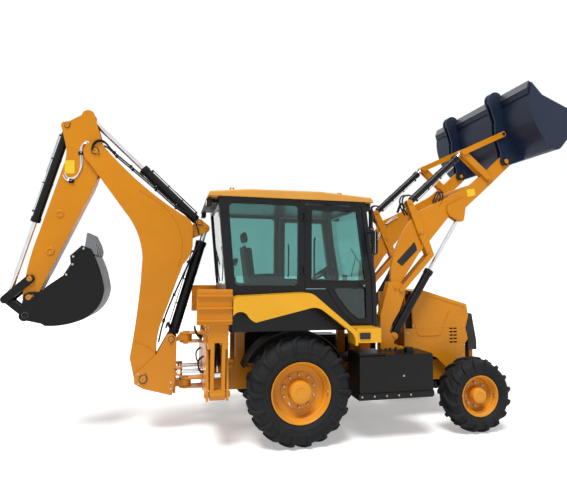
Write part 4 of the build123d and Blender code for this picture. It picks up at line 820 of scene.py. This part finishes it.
class BACKHOE_OT_pins(Operator):
    """Pin heads with washers, grease nipples and keeper bolts"""

    bl_idname = "backhoe.pins"
    bl_label = "Pins"

    def execute(self, context):
        bodies = {}
        for body, (x, z), face, size, way in PINS:
            bm = bodies.setdefault(body, bmesh.new())
            head = Vector((x, -face, z))
            lathe(bm, [(0, -4), (size * 1.12, -4), (size * 1.12, 1), (size, 4), (size * 0.30, 4),
                       (size * 0.26, 1), (0, 1)], head, RIGHT)
            washer(bm, head - RIGHT * 13, RIGHT, size * 1.02, size * 1.5, 6, 32, 1)
            rod(bm, head + RIGHT, head + RIGHT * 6, size * 0.14, 8, 1)
            aim = Vector((way[0], 0, way[1])).normalized()
            side = aim.cross(RIGHT) * size
            low, high = head - RIGHT * 6 + aim * size * 0.4, head + aim * size * 2.1
            near = [low + side * 0.42, low - side * 0.42, high - side * 0.5 - RIGHT * 6,
                    high + side * 0.5 - RIGHT * 6]
            loft(bm, [near, [corner + RIGHT * 7 for corner in near]])
            bolt(bm, head + aim * size * 1.72, RIGHT, size * 0.34, 1)
        for body, bm in bodies.items():
            twin(bm)
            shade = "black" if "bucket" in body else "yellow"
            piece(f"{body}_pins", bm, f"{shade} cast", body)
        return {"FINISHED"}


# ------------------------------------------------------------------ lines and hoses
class BACKHOE_OT_hoses(Operator):
    """Hoses and hard lines of the loader arms, boom, dipper and rear frame"""

    bl_idname = "backhoe.hoses"
    bl_label = "Hoses"

    def execute(self, context):
        boom_lines()
        dipper_lines()
        rear_hoses()
        arm_lines()
        return {"FINISHED"}


BOOM_UPPER = ((-1180, 2560), (-1220, 2780), (-1390, 2850), (-1600, 3030), (-1840, 3240),
              (-2060, 3420), (-2230, 3555), (-2330, 3640))
BOOM_LOWER = ((-1150, 2480), (-1235, 2330), (-1330, 2120), (-1460, 1820), (-1570, 1560),
              (-1640, 1330), (-1668, 1150))
BOOM_CLAMPS = (
    # x, z, direction away from the boom
    (-1500, 2925, 0.65, 0.76), (-1770, 3160, 0.65, 0.76), (-2080, 3420, 0.62, 0.78),
    (-2290, 3590, 0.62, 0.78), (-1325, 2200, 0.9, -0.4), (-1500, 1760, 0.9, -0.4),
    (-1625, 1420, 0.94, -0.3),
)
BOOM_SEAMS = (
    ((-1964, 3120), (-1770, 3016), (-1572, 2877), (-1453, 2678), (-1394, 2458), (-1397, 2274),
     (-1448, 2127)),
    ((-1985, 1180), (-1900, 1150), (-1841, 1129), (-1770, 1080), (-1722, 1037)),
    ((-1930, 700), (-1900, 640), (-1844, 612), (-1785, 640), (-1760, 700)),
)


def boom_lines():
    """Pipes and hoses on both sides of the boom, and its weld seams."""
    bm = bmesh.new()
    for column, y in enumerate((-98, -114)):
        tip = [(-2400, y - 22, 3730 + 12 * column), (-2500, y - 30, 3740 + 16 * column),
               (-2560, y - 32, 3650 + 14 * column), (-2545, y - 32, 3600)]
        sweep(bm, level(BOOM_UPPER, y) + tip, 9, column)
        sweep(bm, level(BOOM_LOWER, y), 11)
    for x, z, *way in BOOM_CLAMPS:
        up = Vector((way[0], 0, way[1])).normalized()
        rod(bm, Vector((x, -87, z)) + up * 12, Vector((x, -125, z)) + up * 12, 19, 8, 1)
        bolt(bm, Vector((x, -106, z)) + up * 28, up, 11, 2)
    twin(bm)
    piece("boom_lines", bm, "rubber black zinc", "boom")
    bm = bmesh.new()
    for rows in BOOM_SEAMS:
        sweep(bm, level(rows, -119), 6)
    twin(bm)
    piece("boom_welds", bm, "yellow", "boom")


def dipper_lines():
    """Bright pipes from the boom's tip to the dipper, and its side bosses."""
    bm = bmesh.new()
    loop = ((-2570, 3700), (-2620, 3745), (-2690, 3680), (-2676, 3540), (-2664, 3420),
            (-2701, 3290), (-2800, 3222), (-2850, 3240), (-2872, 3300))
    for shift in (0, 26):
        sweep(bm, [(-2560, -84, 3560 - shift)]
              + [(x - shift * 0.6, -92, z - shift) for x, z in loop], 9)
    for x, z in ((-2690, 3570), (-2790, 3205)):
        block(bm, (x - 30, -85, z - 30), (x + 30, -101, z + 22), 1)
        bolt(bm, (x, -101, z), RIGHT, 7, 2)
    for place in level(((-2912, 2776), (-3005, 2302)), -85):
        lathe(bm, [(0, 0), (52, 0), (52, 4), (40, 10), (30, 10), (26, 4), (0, 4)], place, RIGHT,
              index=3)
    twin(bm)
    piece("dipper_lines", bm, "chrome black zinc yellow", "dipper")


def rear_hoses():
    """Hose loops at the rear frame's ports, and those that swing with the post."""
    bm = bmesh.new()
    for near, far, top in ((-130, -60, 1350), (-165, -95, 1310)):
        sweep(bm, [(-1090, near, 1180), (-1150, near, 1192), (-1200, near + 8, 1270),
                   (-1212, (near + far) / 2, top), (-1200, far - 8, 1270), (-1150, far, 1192),
                   (-1090, far, 1180)], 12)
        for y in (near, far):
            lathe(bm, [(0, 0), (19, 0), (19, 18), (14, 30), (0, 30)], (-1092, y, 1180),
                  (-1, 0, 0), 6, index=1)
    for shift in (0, 40):
        sweep(bm, [(x, -y - shift, z) for x, y, z in (
            (-1090, 330, 1000), (-1160, 330, 980), (-1180, 320, 900), (-1150, 300, 800),
            (-1110, 268, 780), (-1092, 268, 780))], 10)
    twin(bm)
    piece("rear_hoses", bm, "rubber zinc", "chassis")
    bm = bmesh.new()
    for y in (-60, -30):
        sweep(bm, [(-1455, y, 1120), (-1480, y * 1.9, 1160), (-1520, y * 2.1, 1300),
                   (-1560, y * 2.1, 1420), (-1580, y * 2.0, 1330)], 11)
    bolts(bm, ((-1900, 640), (-1905, 760), (-1500, 560), (-1500, 640)), -152, 14, 1)
    twin(bm)
    piece("post_hoses", bm, "rubber zinc", "swing_post")


ARM_LINE = ((1430, 2010), (1440, 2140), (1540, 2370), (1640, 2560), (1760, 2800), (1860, 2920))
ARM_LOOP = ((2070, 3060), (2110, 3180), (2150, 3240), (2200, 3180), (2180, 3090), (2120, 3010))
LEVER_LOOP = ((1660, 2870), (1590, 2960), (1560, 3080), (1610, 3160))
TOWER_LOOP = ((1460, 450, 1600), (1440, 452, 1700), (1400, 455, 1850), (1420, 455, 1960),
              (1455, 452, 1900), (1470, 450, 1820))


def arm_lines():
    """Pipes along the loader arms, and the hose loops at their levers and towers."""
    bm = bmesh.new()
    for shift in (0, 22):
        sweep(bm, [(x + shift, -512, z) for x, z in ARM_LINE + ((2010, 3000 - shift),)], 8)
    for x, z in ((1475, 2200), (1600, 2470), (1800, 2850)):
        block(bm, (x - 22, -521, z - 12), (x + 46, -502, z + 12), 1, 3)
    for shift in (0, 30):
        y = shift * 0.6 - 560
        sweep(bm, [(x - shift, y, z) for x, z in ARM_LOOP], 11, 2)
        sweep(bm, [(x - shift, y * 0.93, z) for x, z in LEVER_LOOP]
              + [(1700 - shift, y * 0.94, 3150)], 11, 2)
    twin(bm)
    piece("arm_lines", bm, "chrome black rubber", "loader_arms")
    bm = bmesh.new()
    for shift in (0, 26):
        sweep(bm, [(x + shift, -y, z) for x, y, z in TOWER_LOOP], 10)
    twin(bm)
    piece("tower_hoses", bm, "rubber", "chassis")


# ------------------------------------------------------------------ buckets
HEEL, TILT = (3573, 3719), math.radians(49)
COS, SIN = math.cos(TILT), math.sin(TILT)


def in_bucket(x, y, z):
    """Point of the loader bucket's own frame, floor level and heel at 0, 0."""
    return Vector((HEEL[0] + x * COS - z * SIN, y, HEEL[1] + x * SIN + z * COS))


def slab(bm, corners, low, high):
    """Plate on side-view corners of the loader bucket between two widths."""
    loft(bm, [[in_bucket(x, y, z) for x, z in corners] for y in (low, high)])


class BACKHOE_OT_buckets(Operator):
    """Lip strip, wear edge and bolts of the loader bucket, and the backhoe bucket's teeth"""

    bl_idname = "backhoe.buckets"
    bl_label = "Buckets"

    def execute(self, context):
        loader_bucket()
        backhoe_bucket()
        return {"FINISHED"}


def loader_bucket():
    """Lip strips, wear edge, bolts and pin bosses of the loader bucket."""
    lip = ((372, 908), (481, 951), (478, 957), (366, 914))
    bm = bmesh.new()
    slab(bm, lip, -1128, -600)
    for x, z in ((640, 40), (585, 190), (545, 330), (505, 470), (468, 600)):
        bolt(bm, in_bucket(x, -1124.5, z), -RIGHT, 17, 1)
    for x, z in ((350, 975), (-233, 268)):
        for y, way in ((-595, -1), (-495, 1)):
            washer(bm, in_bucket(x, y, z), (0, way, 0), 40, 52, 4, 28, 2)
    twin(bm)
    slab(bm, lip, -490, 490)
    slab(bm, ((668, -18), (755, -4), (755, -1), (668, -14)), -1148, 1148)
    item = bmesh.new()
    start = in_bucket(700, -1080, -14)
    bolt(item, start, (SIN, 0, -COS), 16)
    spread(bm, item, "zinc", 13, step=(0, 180, 0), centre=start, index=1)
    piece("bucket_edges", bm, "steel zinc black", "loader_bucket")


def backhoe_bucket():
    """Teeth, lip shrouds and side bolts of the backhoe bucket."""
    bm = bmesh.new()
    for y in (-191, -64):
        prism(bm, ((-2478, 2316), (-2506, 2352), (-2520, 2346), (-2492, 2306)), y - 34, y + 34,
              1, 3)
    bolts(bm, ((-2575, 2335), (-2690, 2235), (-2695, 2140), (-2760, 2015)), -302, 14, 2)
    twin(bm)
    tooth = bmesh.new()
    prism(tooth, ((-2436, 2262), (-2572, 2300), (-2560, 2395), (-2546, 2522), (-2532, 2530),
                  (-2514, 2526), (-2452, 2400), (-2430, 2320)), -289, -221, 0, 4)
    spread(bm, tooth, "steel", 5, step=(0, 127.5, 0), centre=(-2500, -255, 2300))
    piece("bucket_teeth", bm, "steel black zinc", "backhoe_bucket")


# ------------------------------------------------------------------ seat
class BACKHOE_OT_seat(Operator):
    """Sprung seat with padded cushion, backrest and headrest"""

    bl_idname = "backhoe.seat"
    bl_label = "Seat"

    def execute(self, context):
        seat_base()
        pad("seat_cushion", [(-455, 1742), (-452, 1800), (-400, 1812), (-100, 1812),
                             (0, 1808), (18, 1780), (0, 1742)], 215)
        pad("seat_backrest", [(-470, 1830), (-540, 2400), (-510, 2412), (-490, 2396),
                              (-438, 2000), (-410, 1840), (-430, 1822)], 200)
        pad("seat_headrest", [(-585, 2470), (-598, 2600), (-575, 2612), (-545, 2606),
                              (-522, 2480), (-540, 2462)], 115)
        return {"FINISHED"}


def seat_base():
    """Bellows, pan, back shell, armrests and headrest posts."""
    bm = bmesh.new()
    rod(bm, (-552, -70, 2400), (-566, -70, 2480), 8, 12, 2)
    prism(bm, [(-440, 1985), (-440, 2030), (-140, 2050), (-125, 2010), (-380, 1960)], -262, -232,
          0, 10, 18)
    twin(bm)
    prism(bm, [(-400, 1392), (-400, 1420), (-360, 1470), (-380, 1640), (-420, 1694),
               (-40, 1694), (-60, 1640), (-50, 1470), (-30, 1420), (-30, 1392)],
          -190, 190, 0, 10, 16)
    for z in range(1490, 1650, 32):
        block(bm, (-390, -198, z), (-45, 198, z + 16), 0, 7)
    prism(bm, [(-478, 1698), (-478, 1730), (20, 1730), (28, 1698)], -235, 235, 1, 12, 12)
    prism(bm, [(-505, 1760), (-592, 2410), (-560, 2418), (-470, 1770)], -215, 215, 1, 14, 20)
    piece("seat_base", bm, "rubber plastic chrome", "chassis", "seat")


PAD_SWELL = 0.012
SEAM_SHARE = 0.62
SEAM_DEPTH = 0.006


def pad(name, rows, half):
    """Stuffed pad: swollen by pressure from a shape that fills most of its place."""
    bm = bmesh.new()
    prism(bm, rows, -half, half, 0, 16, 22)
    made = new_object(name, bm)
    remesh = made.modifiers.new("even", "REMESH")
    remesh.mode = "VOXEL"
    remesh.voxel_size = 0.006
    apply_modifiers(made)
    stuff(made)
    for vert in made.data.vertices:
        across = abs(vert.co.y) * 1000 / half
        groove = math.exp(-((across - SEAM_SHARE) / 0.05) ** 2)
        if groove > 0.02:
            vert.co -= vert.normal * SEAM_DEPTH * groove
    subdivision = made.modifiers.new("smooth", "SUBSURF")
    subdivision.levels = subdivision.render_levels = 1
    apply_modifiers(made)
    made.data.materials.append(finish_named("cloth"))
    made.data.shade_smooth()
    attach(made, "chassis")
    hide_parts("seat")


def stuff(made):
    """Let cloth swell under pressure for 20 frames, and hold its growth within PAD_SWELL."""
    rest = [vert.co.copy() for vert in made.data.vertices]
    cloth = made.modifiers.new("stuffing", "CLOTH")
    cloth.settings.use_pressure = True
    cloth.settings.uniform_pressure_force = 4.0
    cloth.settings.effector_weights.gravity = 0.0
    cloth.settings.quality = 4
    cloth.point_cache.frame_start = 1
    cloth.point_cache.frame_end = 20
    for step in range(1, 21):
        bpy.context.scene.frame_set(step)
    apply_modifiers(made)
    for vert, place in zip(made.data.vertices, rest):
        shift = vert.co - place
        if shift.length > PAD_SWELL:
            vert.co = place + shift.normalized() * PAD_SWELL
    bpy.context.scene.frame_set(1)


def apply_modifiers(made):
    """Turn the object's modifiers into its own mesh."""
    ready = made.evaluated_get(bpy.context.evaluated_depsgraph_get())
    old = made.data
    mesh = bpy.data.meshes.new_from_object(ready)
    made.modifiers.clear()
    made.data = mesh
    bpy.data.meshes.remove(old)


# ------------------------------------------------------------------ cab
class BACKHOE_OT_cab(Operator):
    """Steering wheel, levers, seals, handles, lamps, mirrors and wipers"""

    bl_idname = "backhoe.cab"
    bl_label = "Cab"

    def execute(self, context):
        cab_controls()
        lamps_mirrors()
        for hand, sign in SIDES:
            door_trim(hand, sign)
        return {"FINISHED"}


def cab_controls():
    """Consoles, steering wheel, armrests and levers."""
    bm = bmesh.new()
    lathe(bm, [(46, 0), (40, 20), (44, 30), (32, 50), (36, 60), (18, 85), (0, 85)],
          (-715, -110, 1935), UP, 24, index=1)
    sweep(bm, [(-715, -110, 1990), (-712, -110, 2080), (-690, -104.5, 2160)], 10, 2)
    lathe(bm, [(0, 0), (14, 4), (19, 30), (26, 55), (27, 80), (18, 98), (0, 102)],
          (-690, -104.5, 2150), (0.15, 0, 1), 20, index=1)
    prism(bm, [(-350, 1860), (-350, 2010), (-60, 1990), (-60, 1930), (-260, 1900),
               (-280, 1860)], -260, -210, 0, 12, 25)
    twin(bm)
    prism(bm, [(760, 1392), (700, 1640), (690, 1840), (800, 1900), (985, 1890), (990, 1392)],
          -190, 190, 0, 20, 40)
    prism(bm, [(-756, 1392), (-756, 1900), (-690, 1948), (-644, 1900), (-650, 1392)],
          -215, 215, 0, 20, 30)
    hub = Vector((600, 0, 2075))
    axis = Vector((-0.55, 0, 0.835)).normalized()
    rod(bm, (790, 0, 1790), hub, 34, 20)
    lathe(bm, [(172 + 16 * math.cos(math.pi / 4 * k), 16 * math.sin(math.pi / 4 * k))
               for k in range(8)], hub, axis, 48, closed=True, index=1)
    lathe(bm, [(0, -30), (45, -26), (48, 0), (36, 12), (0, 14)], hub, axis, 28)
    across, up = basis(axis)
    for angle in (90, 210, 330):
        way = across * math.cos(math.radians(angle)) + up * math.sin(math.radians(angle))
        rod(bm, hub + way * 30, hub + way * 172, 10, 10)
    for y in (-250, -190, -130):
        sweep(bm, [(860, y, 1870), (850, y, 2010)], 7, 2)
        lathe(bm, [(0, 0), (14, 6), (16, 30), (0, 38)], (850, y, 2000), UP, 16, index=1)
    piece("cab_controls", bm, "plastic rubber chrome", "chassis", "controls")


def lamps_mirrors():
    """Roof lamps, mirrors on their arms, and the wipers."""
    bm = bmesh.new()
    for x, face, top, aim in ((965, 1040, 2985, 1), (-1125, -1125, 2960, -1)):
        block(bm, (x + 4, -673, top - 92), (x + 71, -527, top - 4), 0, 12)
        for low, high in ((95, 78), (17, 1)):
            block(bm, (face, -675, top - low), (face - aim * 8, -525, top - high), 0, 3)
        block(bm, (face - aim * 6, -666, top - 80), (face - aim, -534, top - 15), 1, 2)
        for y in range(-645, -554, 30):
            lathe(bm, [(0, 0), (12, 2), (13, 6), (0, 6)], (face - aim * 12, y, top - 48),
                  (aim, 0, 0), 16, index=2)
    sweep(bm, [(972, -762, 2590), (976, -800, 2588), (984, -900, 2594), (980, -932, 2585),
               (976, -935, 2540), (976, -935, 2470)], 10, 3)
    block(bm, (956, -1008, 2292), (990, -862, 2598), 0, 16)
    block(bm, (952, -1000, 2302), (957, -870, 2588), 4, 2)
    twin(bm)
    # wipers
    sweep(bm, [(1068, 120, 2000), (1068, 40, 2120), (1036, -160, 2300)], 7, 3)
    rod(bm, (1058, -320, 2150), (1014, -20, 2420), 8, 6, 5)
    sweep(bm, [(-880, 60, 1935), (-910, 20, 2060), (-935, -120, 2280)], 7, 3)
    rod(bm, (-915, -280, 2160), (-950, 20, 2400), 8, 6, 5)
    piece("lamps_mirrors", bm, "plastic lens chrome black mirror rubber", "chassis",
          "cab_fittings")


def door_trim(hand, sign):
    """Seals, latch, handle and grab bar of one door."""
    bm = bmesh.new()
    for rows in ([(190, 2860), (190, 1960), (925, 1960), (860, 2450), (810, 2860)],
                 [(480, 1870), (560, 1740), (680, 1590), (820, 1470), (940, 1470), (930, 1870)]):
        sweep(bm, level(rounded(rows, 30), 754), 7, closed=True)
    block(bm, (835, 755, 1888), (965, 762, 1942), 1, 3)
    sweep(bm, [(850, 758, 1915), (852, 790, 1915), (880, 798, 1915), (930, 798, 1915),
               (950, 790, 1915), (952, 758, 1915)], 9, 1)
    rod(bm, (900, 755, 1900), (900, 772, 1900), 12, 16, 2)
    sweep(bm, [(250, 726, 2000), (250, 700, 2010), (250, 690, 2080), (250, 690, 2420),
               (250, 700, 2490), (250, 726, 2500)], 12, 1)
    bmesh.ops.scale(bm, vec=(1, sign, 1), verts=bm.verts)
    piece(f"door_trim_{hand}", bm, "rubber plastic zinc", f"door_{hand}")


# ------------------------------------------------------------------ body
class BACKHOE_OT_body(Operator):
    """Exhaust, lamps, tank fittings, louvres, blank plates and fasteners of the body"""

    bl_idname = "backhoe.body"
    bl_label = "Body"

    def execute(self, context):
        exhaust_stack()
        cowl_trim()
        hood_trim()
        tank_trim()
        shade_liners()
        tank_hoses()
        plates()
        for hand, sign in SIDES:
            stabilizer_trim(hand, sign)
        return {"FINISHED"}


def exhaust_stack():
    """Upright exhaust in its slotted heat shield."""
    bm = bmesh.new()
    foot = Vector((1150, -420, 1700))
    lathe(bm, [(30, 0), (34, 10), (34, 200), (42, 215), (42, 980), (34, 995), (29, 1010),
               (29, 1190), (33, 1200), (33, 1245), (28, 1248), (27, 1200), (0, 1198)],
          foot, UP, 40)
    slot = bmesh.new()
    start = foot + Vector((0, -42.5, 260))
    block(slot, start + Vector((-4, -1.6, 0)), start + Vector((4, 3, 30)), 0, 1.5)
    column = bmesh.new()
    spread(column, slot, "steel", 16, step=(0, 0, 43), centre=start)
    spread(bm, column, "steel", 12, centre=foot, axis=UP, turn=math.pi / 6, index=1)
    for height in (225, 960):
        washer(bm, foot + UP * height, UP, 40, 45.5, 16, index=1)
    block(bm, (1088, -458, 1652), (1188, -382, 1708), 0, 6)
    piece("exhaust_stack", bm, "black steel", "chassis", "exhaust")


def cowl_trim():
    """Louvre fins, bolts and pressed bead of the cowl's sides."""
    bm = bmesh.new()
    for x in (2342, 2406):
        fin = bmesh.new()
        block(fin, (x, -423, 1079), (x + 54, -411, 1086), 0, 2)
        spread(bm, fin, "plastic", 5, step=(0, 0, 48), centre=(x, -418, 1082))
    bolts(bm, ((1690, 1010), (1690, 1230), (1850, 985), (2440, 880), (2560, 905), (2570, 1050)),
          -425, 11, 1)
    sweep(bm, level(((1824, 1286), (1838, 1245), (1850, 1206), (1880, 1194), (2000, 1194),
                     (2150, 1194), (2184, 1200), (2206, 1240), (2229, 1288)), -420), 8, 2)
    twin(bm)
    piece("cowl_trim", bm, "plastic zinc yellow", "chassis")


def hood_trim():
    """Lamps, bolts and pressed beads of the hood."""
    bm = bmesh.new()
    bolts(bm, ((1775, 1330), (2570, 1330), (2560, 1630)), -425, 10, 1)
    face, place = (0.985, 0, 0.175), (2738, -285, 1390)
    lathe(bm, [(40, -30), (62, -30), (64, 4), (58, 12), (54, 12), (52, 4), (40, 2)], place, face,
          36, closed=True)
    lathe(bm, [(0, 9), (30, 8), (53, 2), (53, -4), (0, -4)], place, face, 36, index=2)
    for rows in (((1767, 1447), (1785, 1395), (1803, 1345), (1818, 1302)),
                 ((2235, 1302), (2262, 1370), (2305, 1462), (2349, 1558))):
        sweep(bm, level(rows, -420), 8, 3)
    twin(bm)
    piece("hood_trim", bm, "plastic zinc lens yellow", "hood")


def tank_trim():
    """Filler caps and bolts of the side tanks."""
    bm = bmesh.new()
    lathe(bm, [(0, 28), (40, 28), (46, 22), (48, 6), (52, 0), (0, 0)], (1448, -900, 985), UP, 28)
    bolts(bm, [(x, 575) for x in range(740, 1400, 160)], -1067, 12, 1)
    bolt(bm, (1300, -1045, 800), RIGHT, 14, 1)
    twin(bm)
    piece("tank_trim", bm, "plastic zinc", "chassis")


def tank_hoses():
    """Hoses that rise from the tanks' ports and run in to the frame."""
    bm = bmesh.new()
    for column, x in enumerate((1130, 1190, 1250, 1330)):
        sweep(bm, [(x, -800, 975), (x, -800, 1040 + 15 * column),
                   (x + 30, -740, 1080 + 10 * column), (x + 50, -650, 1060),
                   (x + 60, -620, 1040)], 13)
        lathe(bm, [(0, 0), (22, 0), (22, 24), (16, 30), (0, 30)], (x, -800, 968), UP, 6, index=1)
    twin(bm)
    piece("tank_hoses", bm, "rubber zinc", "chassis")


def shade_liners():
    """Black wheel arch liners, which also fill the dark under the cab as painted shade, and the
    roof's rear visor.
    """
    inner, outer = ([(radius * math.cos(math.radians(a)), 646 + radius * math.sin(math.radians(a)))
                     for a in range(22, 159, 4)] for radius in (688, 700))
    bm = bmesh.new()
    # black sheets behind the rear wheel arches: painted shade for the dark under the cab
    prism(bm, inner + outer[::-1], -740, -430)
    prism(bm, inner, -442, -430)
    twin(bm)
    piece("arch_liners", bm, "plastic", "chassis")
    bm = bmesh.new()
    prism(bm, ((-1122, 2957), (-1060, 2984), (-900, 2984), (-905, 2950), (-1010, 2940),
               (-1116, 2934)), -500, 500, 0, 6)
    piece("roof_visor", bm, "plastic", "chassis")


def plates():
    """Blank plates and plain patches."""
    bm = bmesh.new()
    prism(bm, [(1460, 2222), (1538, 2160), (1772, 2386), (1730, 2500)], -573, -570, 0, corner=16)
    for rows in ([(2560, 3268), (2690, 3290), (2708, 3190), (2580, 3160)],
                 [(1846, 2500), (1900, 2500), (1900, 2430), (1846, 2430)]):
        prism(bm, rows, -573, -570, 1, corner=10)
    twin(bm)
    piece("arm_plates", bm, "gloss_black sign", "loader_arms")
    bm = bmesh.new()
    prism(bm, [(-2880, 3465), (-2762, 3472), (-2756, 3300), (-2874, 3292)], -87, -85, corner=12)
    twin(bm)
    piece("dipper_patches", bm, "sign", "dipper")
    bm = bmesh.new()
    block(bm, (712, -1075, 1262), (850, -1072, 1338), 0, 1)
    twin(bm)
    piece("step_plates", bm, "gloss_black", "chassis")


def stabilizer_trim(hand, sign):
    """Bolts and pivot rings of one stabilizer's leg."""
    bm = bmesh.new()
    for x, way in ((-863, 1), (-1093, -1)):
        for z in (1230, 1350, 1600):
            bolt(bm, (x, 932, z), (way, 0, 0), 14, 1)
    for x in (-1200, -860):
        bolts(bm, [(x, z) for z in (1470, 1560, 1710, 1850)], 985, 14, 1)
    for x, way in ((-1063, -1), (-893, 1)):
        washer(bm, (x, 930, 665), (way, 0, 0), 36, 58, 4, 32)
    bmesh.ops.scale(bm, vec=(1, sign, 1), verts=bm.verts)
    piece(f"stabilizer_trim_{hand}", bm, "yellow zinc", f"stabilizer_{hand}")


# ------------------------------------------------------------------ stage
WHITE = (1, 1, 1, 1)
FLOOR_HALF = 400


class BACKHOE_OT_stage(Operator):
    """Set the floor, the lights and the camera"""

    bl_idname = "backhoe.stage"
    bl_label = "Stage"

    def execute(self, context):
        settings = context.scene.backhoe_stage
        mesh = bpy.data.meshes.new("floor")
        mesh.from_pydata([(x * FLOOR_HALF, y * FLOOR_HALF, 0) for x, y in
                          ((-1, -1), (1, -1), (1, 1), (-1, 1))], [], [(0, 1, 2, 3)])
        mesh.materials.append(floor_material())
        link_object("floor", mesh)
        context.scene.world = studio_world(settings.sky)

        sun = bpy.data.lights.new("key", "SUN")
        sun.energy = settings.sun
        sun.angle = math.radians(24)
        key = link_object("key", sun)
        key.rotation_euler = Euler((math.radians(26), 0, math.radians(-32)))

        lens = bpy.data.cameras.new("camera")
        lens.sensor_fit = "HORIZONTAL"
        lens.sensor_width = 36.0
        lens.lens = settings.lens
        lens.clip_end = 1000
        camera = link_object("camera", lens)
        turn = Matrix.Rotation(-settings.heading, 4, "Z")
        tilt = Matrix.Rotation(math.pi / 2 + settings.rise, 4, "X")
        spin = Matrix.Rotation(settings.roll, 4, "Z")
        camera.matrix_world = Matrix.Translation(settings.camera_place) @ turn @ tilt @ spin
        context.scene.camera = camera
        context.scene.view_settings.view_transform = "Standard"
        return {"FINISHED"}


def floor_material():
    """Pale matt floor that looks white to the camera and through glass."""
    material, nodes, shader = start_material("pale_floor")
    path = nodes.add("ShaderNodeLightPath").outputs
    seen = nodes.math("MAXIMUM", path["Is Camera Ray"], path["Is Transmission Ray"])
    nodes.feed(shader, {"Base Color": (0.93, 0.93, 0.93, 1), "Roughness": 0.9,
                        "Specular IOR Level": 0.0, "Emission Color": WHITE,
                        "Emission Strength": nodes.times(seen, 0.35)})
    return material


def studio_world(sky):
    """White background, which lights the object at the strength of the sky."""
    world = bpy.data.worlds.new("studio")
    world.use_nodes = True
    nodes = Nodes(world.node_tree)
    path = nodes.add("ShaderNodeLightPath").outputs
    seen = nodes.math("MAXIMUM", path["Is Camera Ray"], path["Is Transmission Ray"])
    seen = nodes.math("MAXIMUM", seen, path["Is Glossy Ray"])
    nodes.feed(world.node_tree.nodes["Background"],
               {"Color": WHITE, "Strength": nodes.ramp(seen, 0.0, 1.0, sky, 1.0)})
    return world


# ------------------------------------------------------------------ panel and registration
PIECES = (
    BACKHOE_OT_stage, BACKHOE_OT_finish_frame, BACKHOE_OT_wheels, BACKHOE_OT_cylinders,
    BACKHOE_OT_pins, BACKHOE_OT_hoses, BACKHOE_OT_buckets, BACKHOE_OT_seat, BACKHOE_OT_cab,
    BACKHOE_OT_body,
)
SETTINGS = (("backhoe_paint", BackhoePaint), ("backhoe_stage", BackhoeStage))


class BACKHOE_PT_pieces(Panel):
    """Pieces of the backhoe loader's dressing"""

    bl_label = "Backhoe Loader"
    bl_idname = "BACKHOE_PT_pieces"
    bl_space_type = "VIEW_3D"
    bl_region_type = "UI"
    bl_category = "Backhoe"

    def draw(self, context):
        for name, settings in SETTINGS:
            box = self.layout.box()
            for key in settings.__annotations__:
                box.prop(getattr(context.scene, name), key)
        for maker in PIECES:
            self.layout.operator(maker.bl_idname)


def register():
    for name, settings in SETTINGS:
        bpy.utils.register_class(settings)
        setattr(bpy.types.Scene, name, PointerProperty(type=settings))
    for maker in (*PIECES, BACKHOE_PT_pieces):
        bpy.utils.register_class(maker)


def unregister():
    for maker in reversed((*PIECES, BACKHOE_PT_pieces)):
        bpy.utils.unregister_class(maker)
    for name, settings in reversed(SETTINGS):
        delattr(bpy.types.Scene, name)
        bpy.utils.unregister_class(settings)


def main():
    register()
    for maker in PIECES:
        family, name = maker.bl_idname.split(".")
        getattr(getattr(bpy.ops, family), name)()


if __name__ == "__main__":
    main()
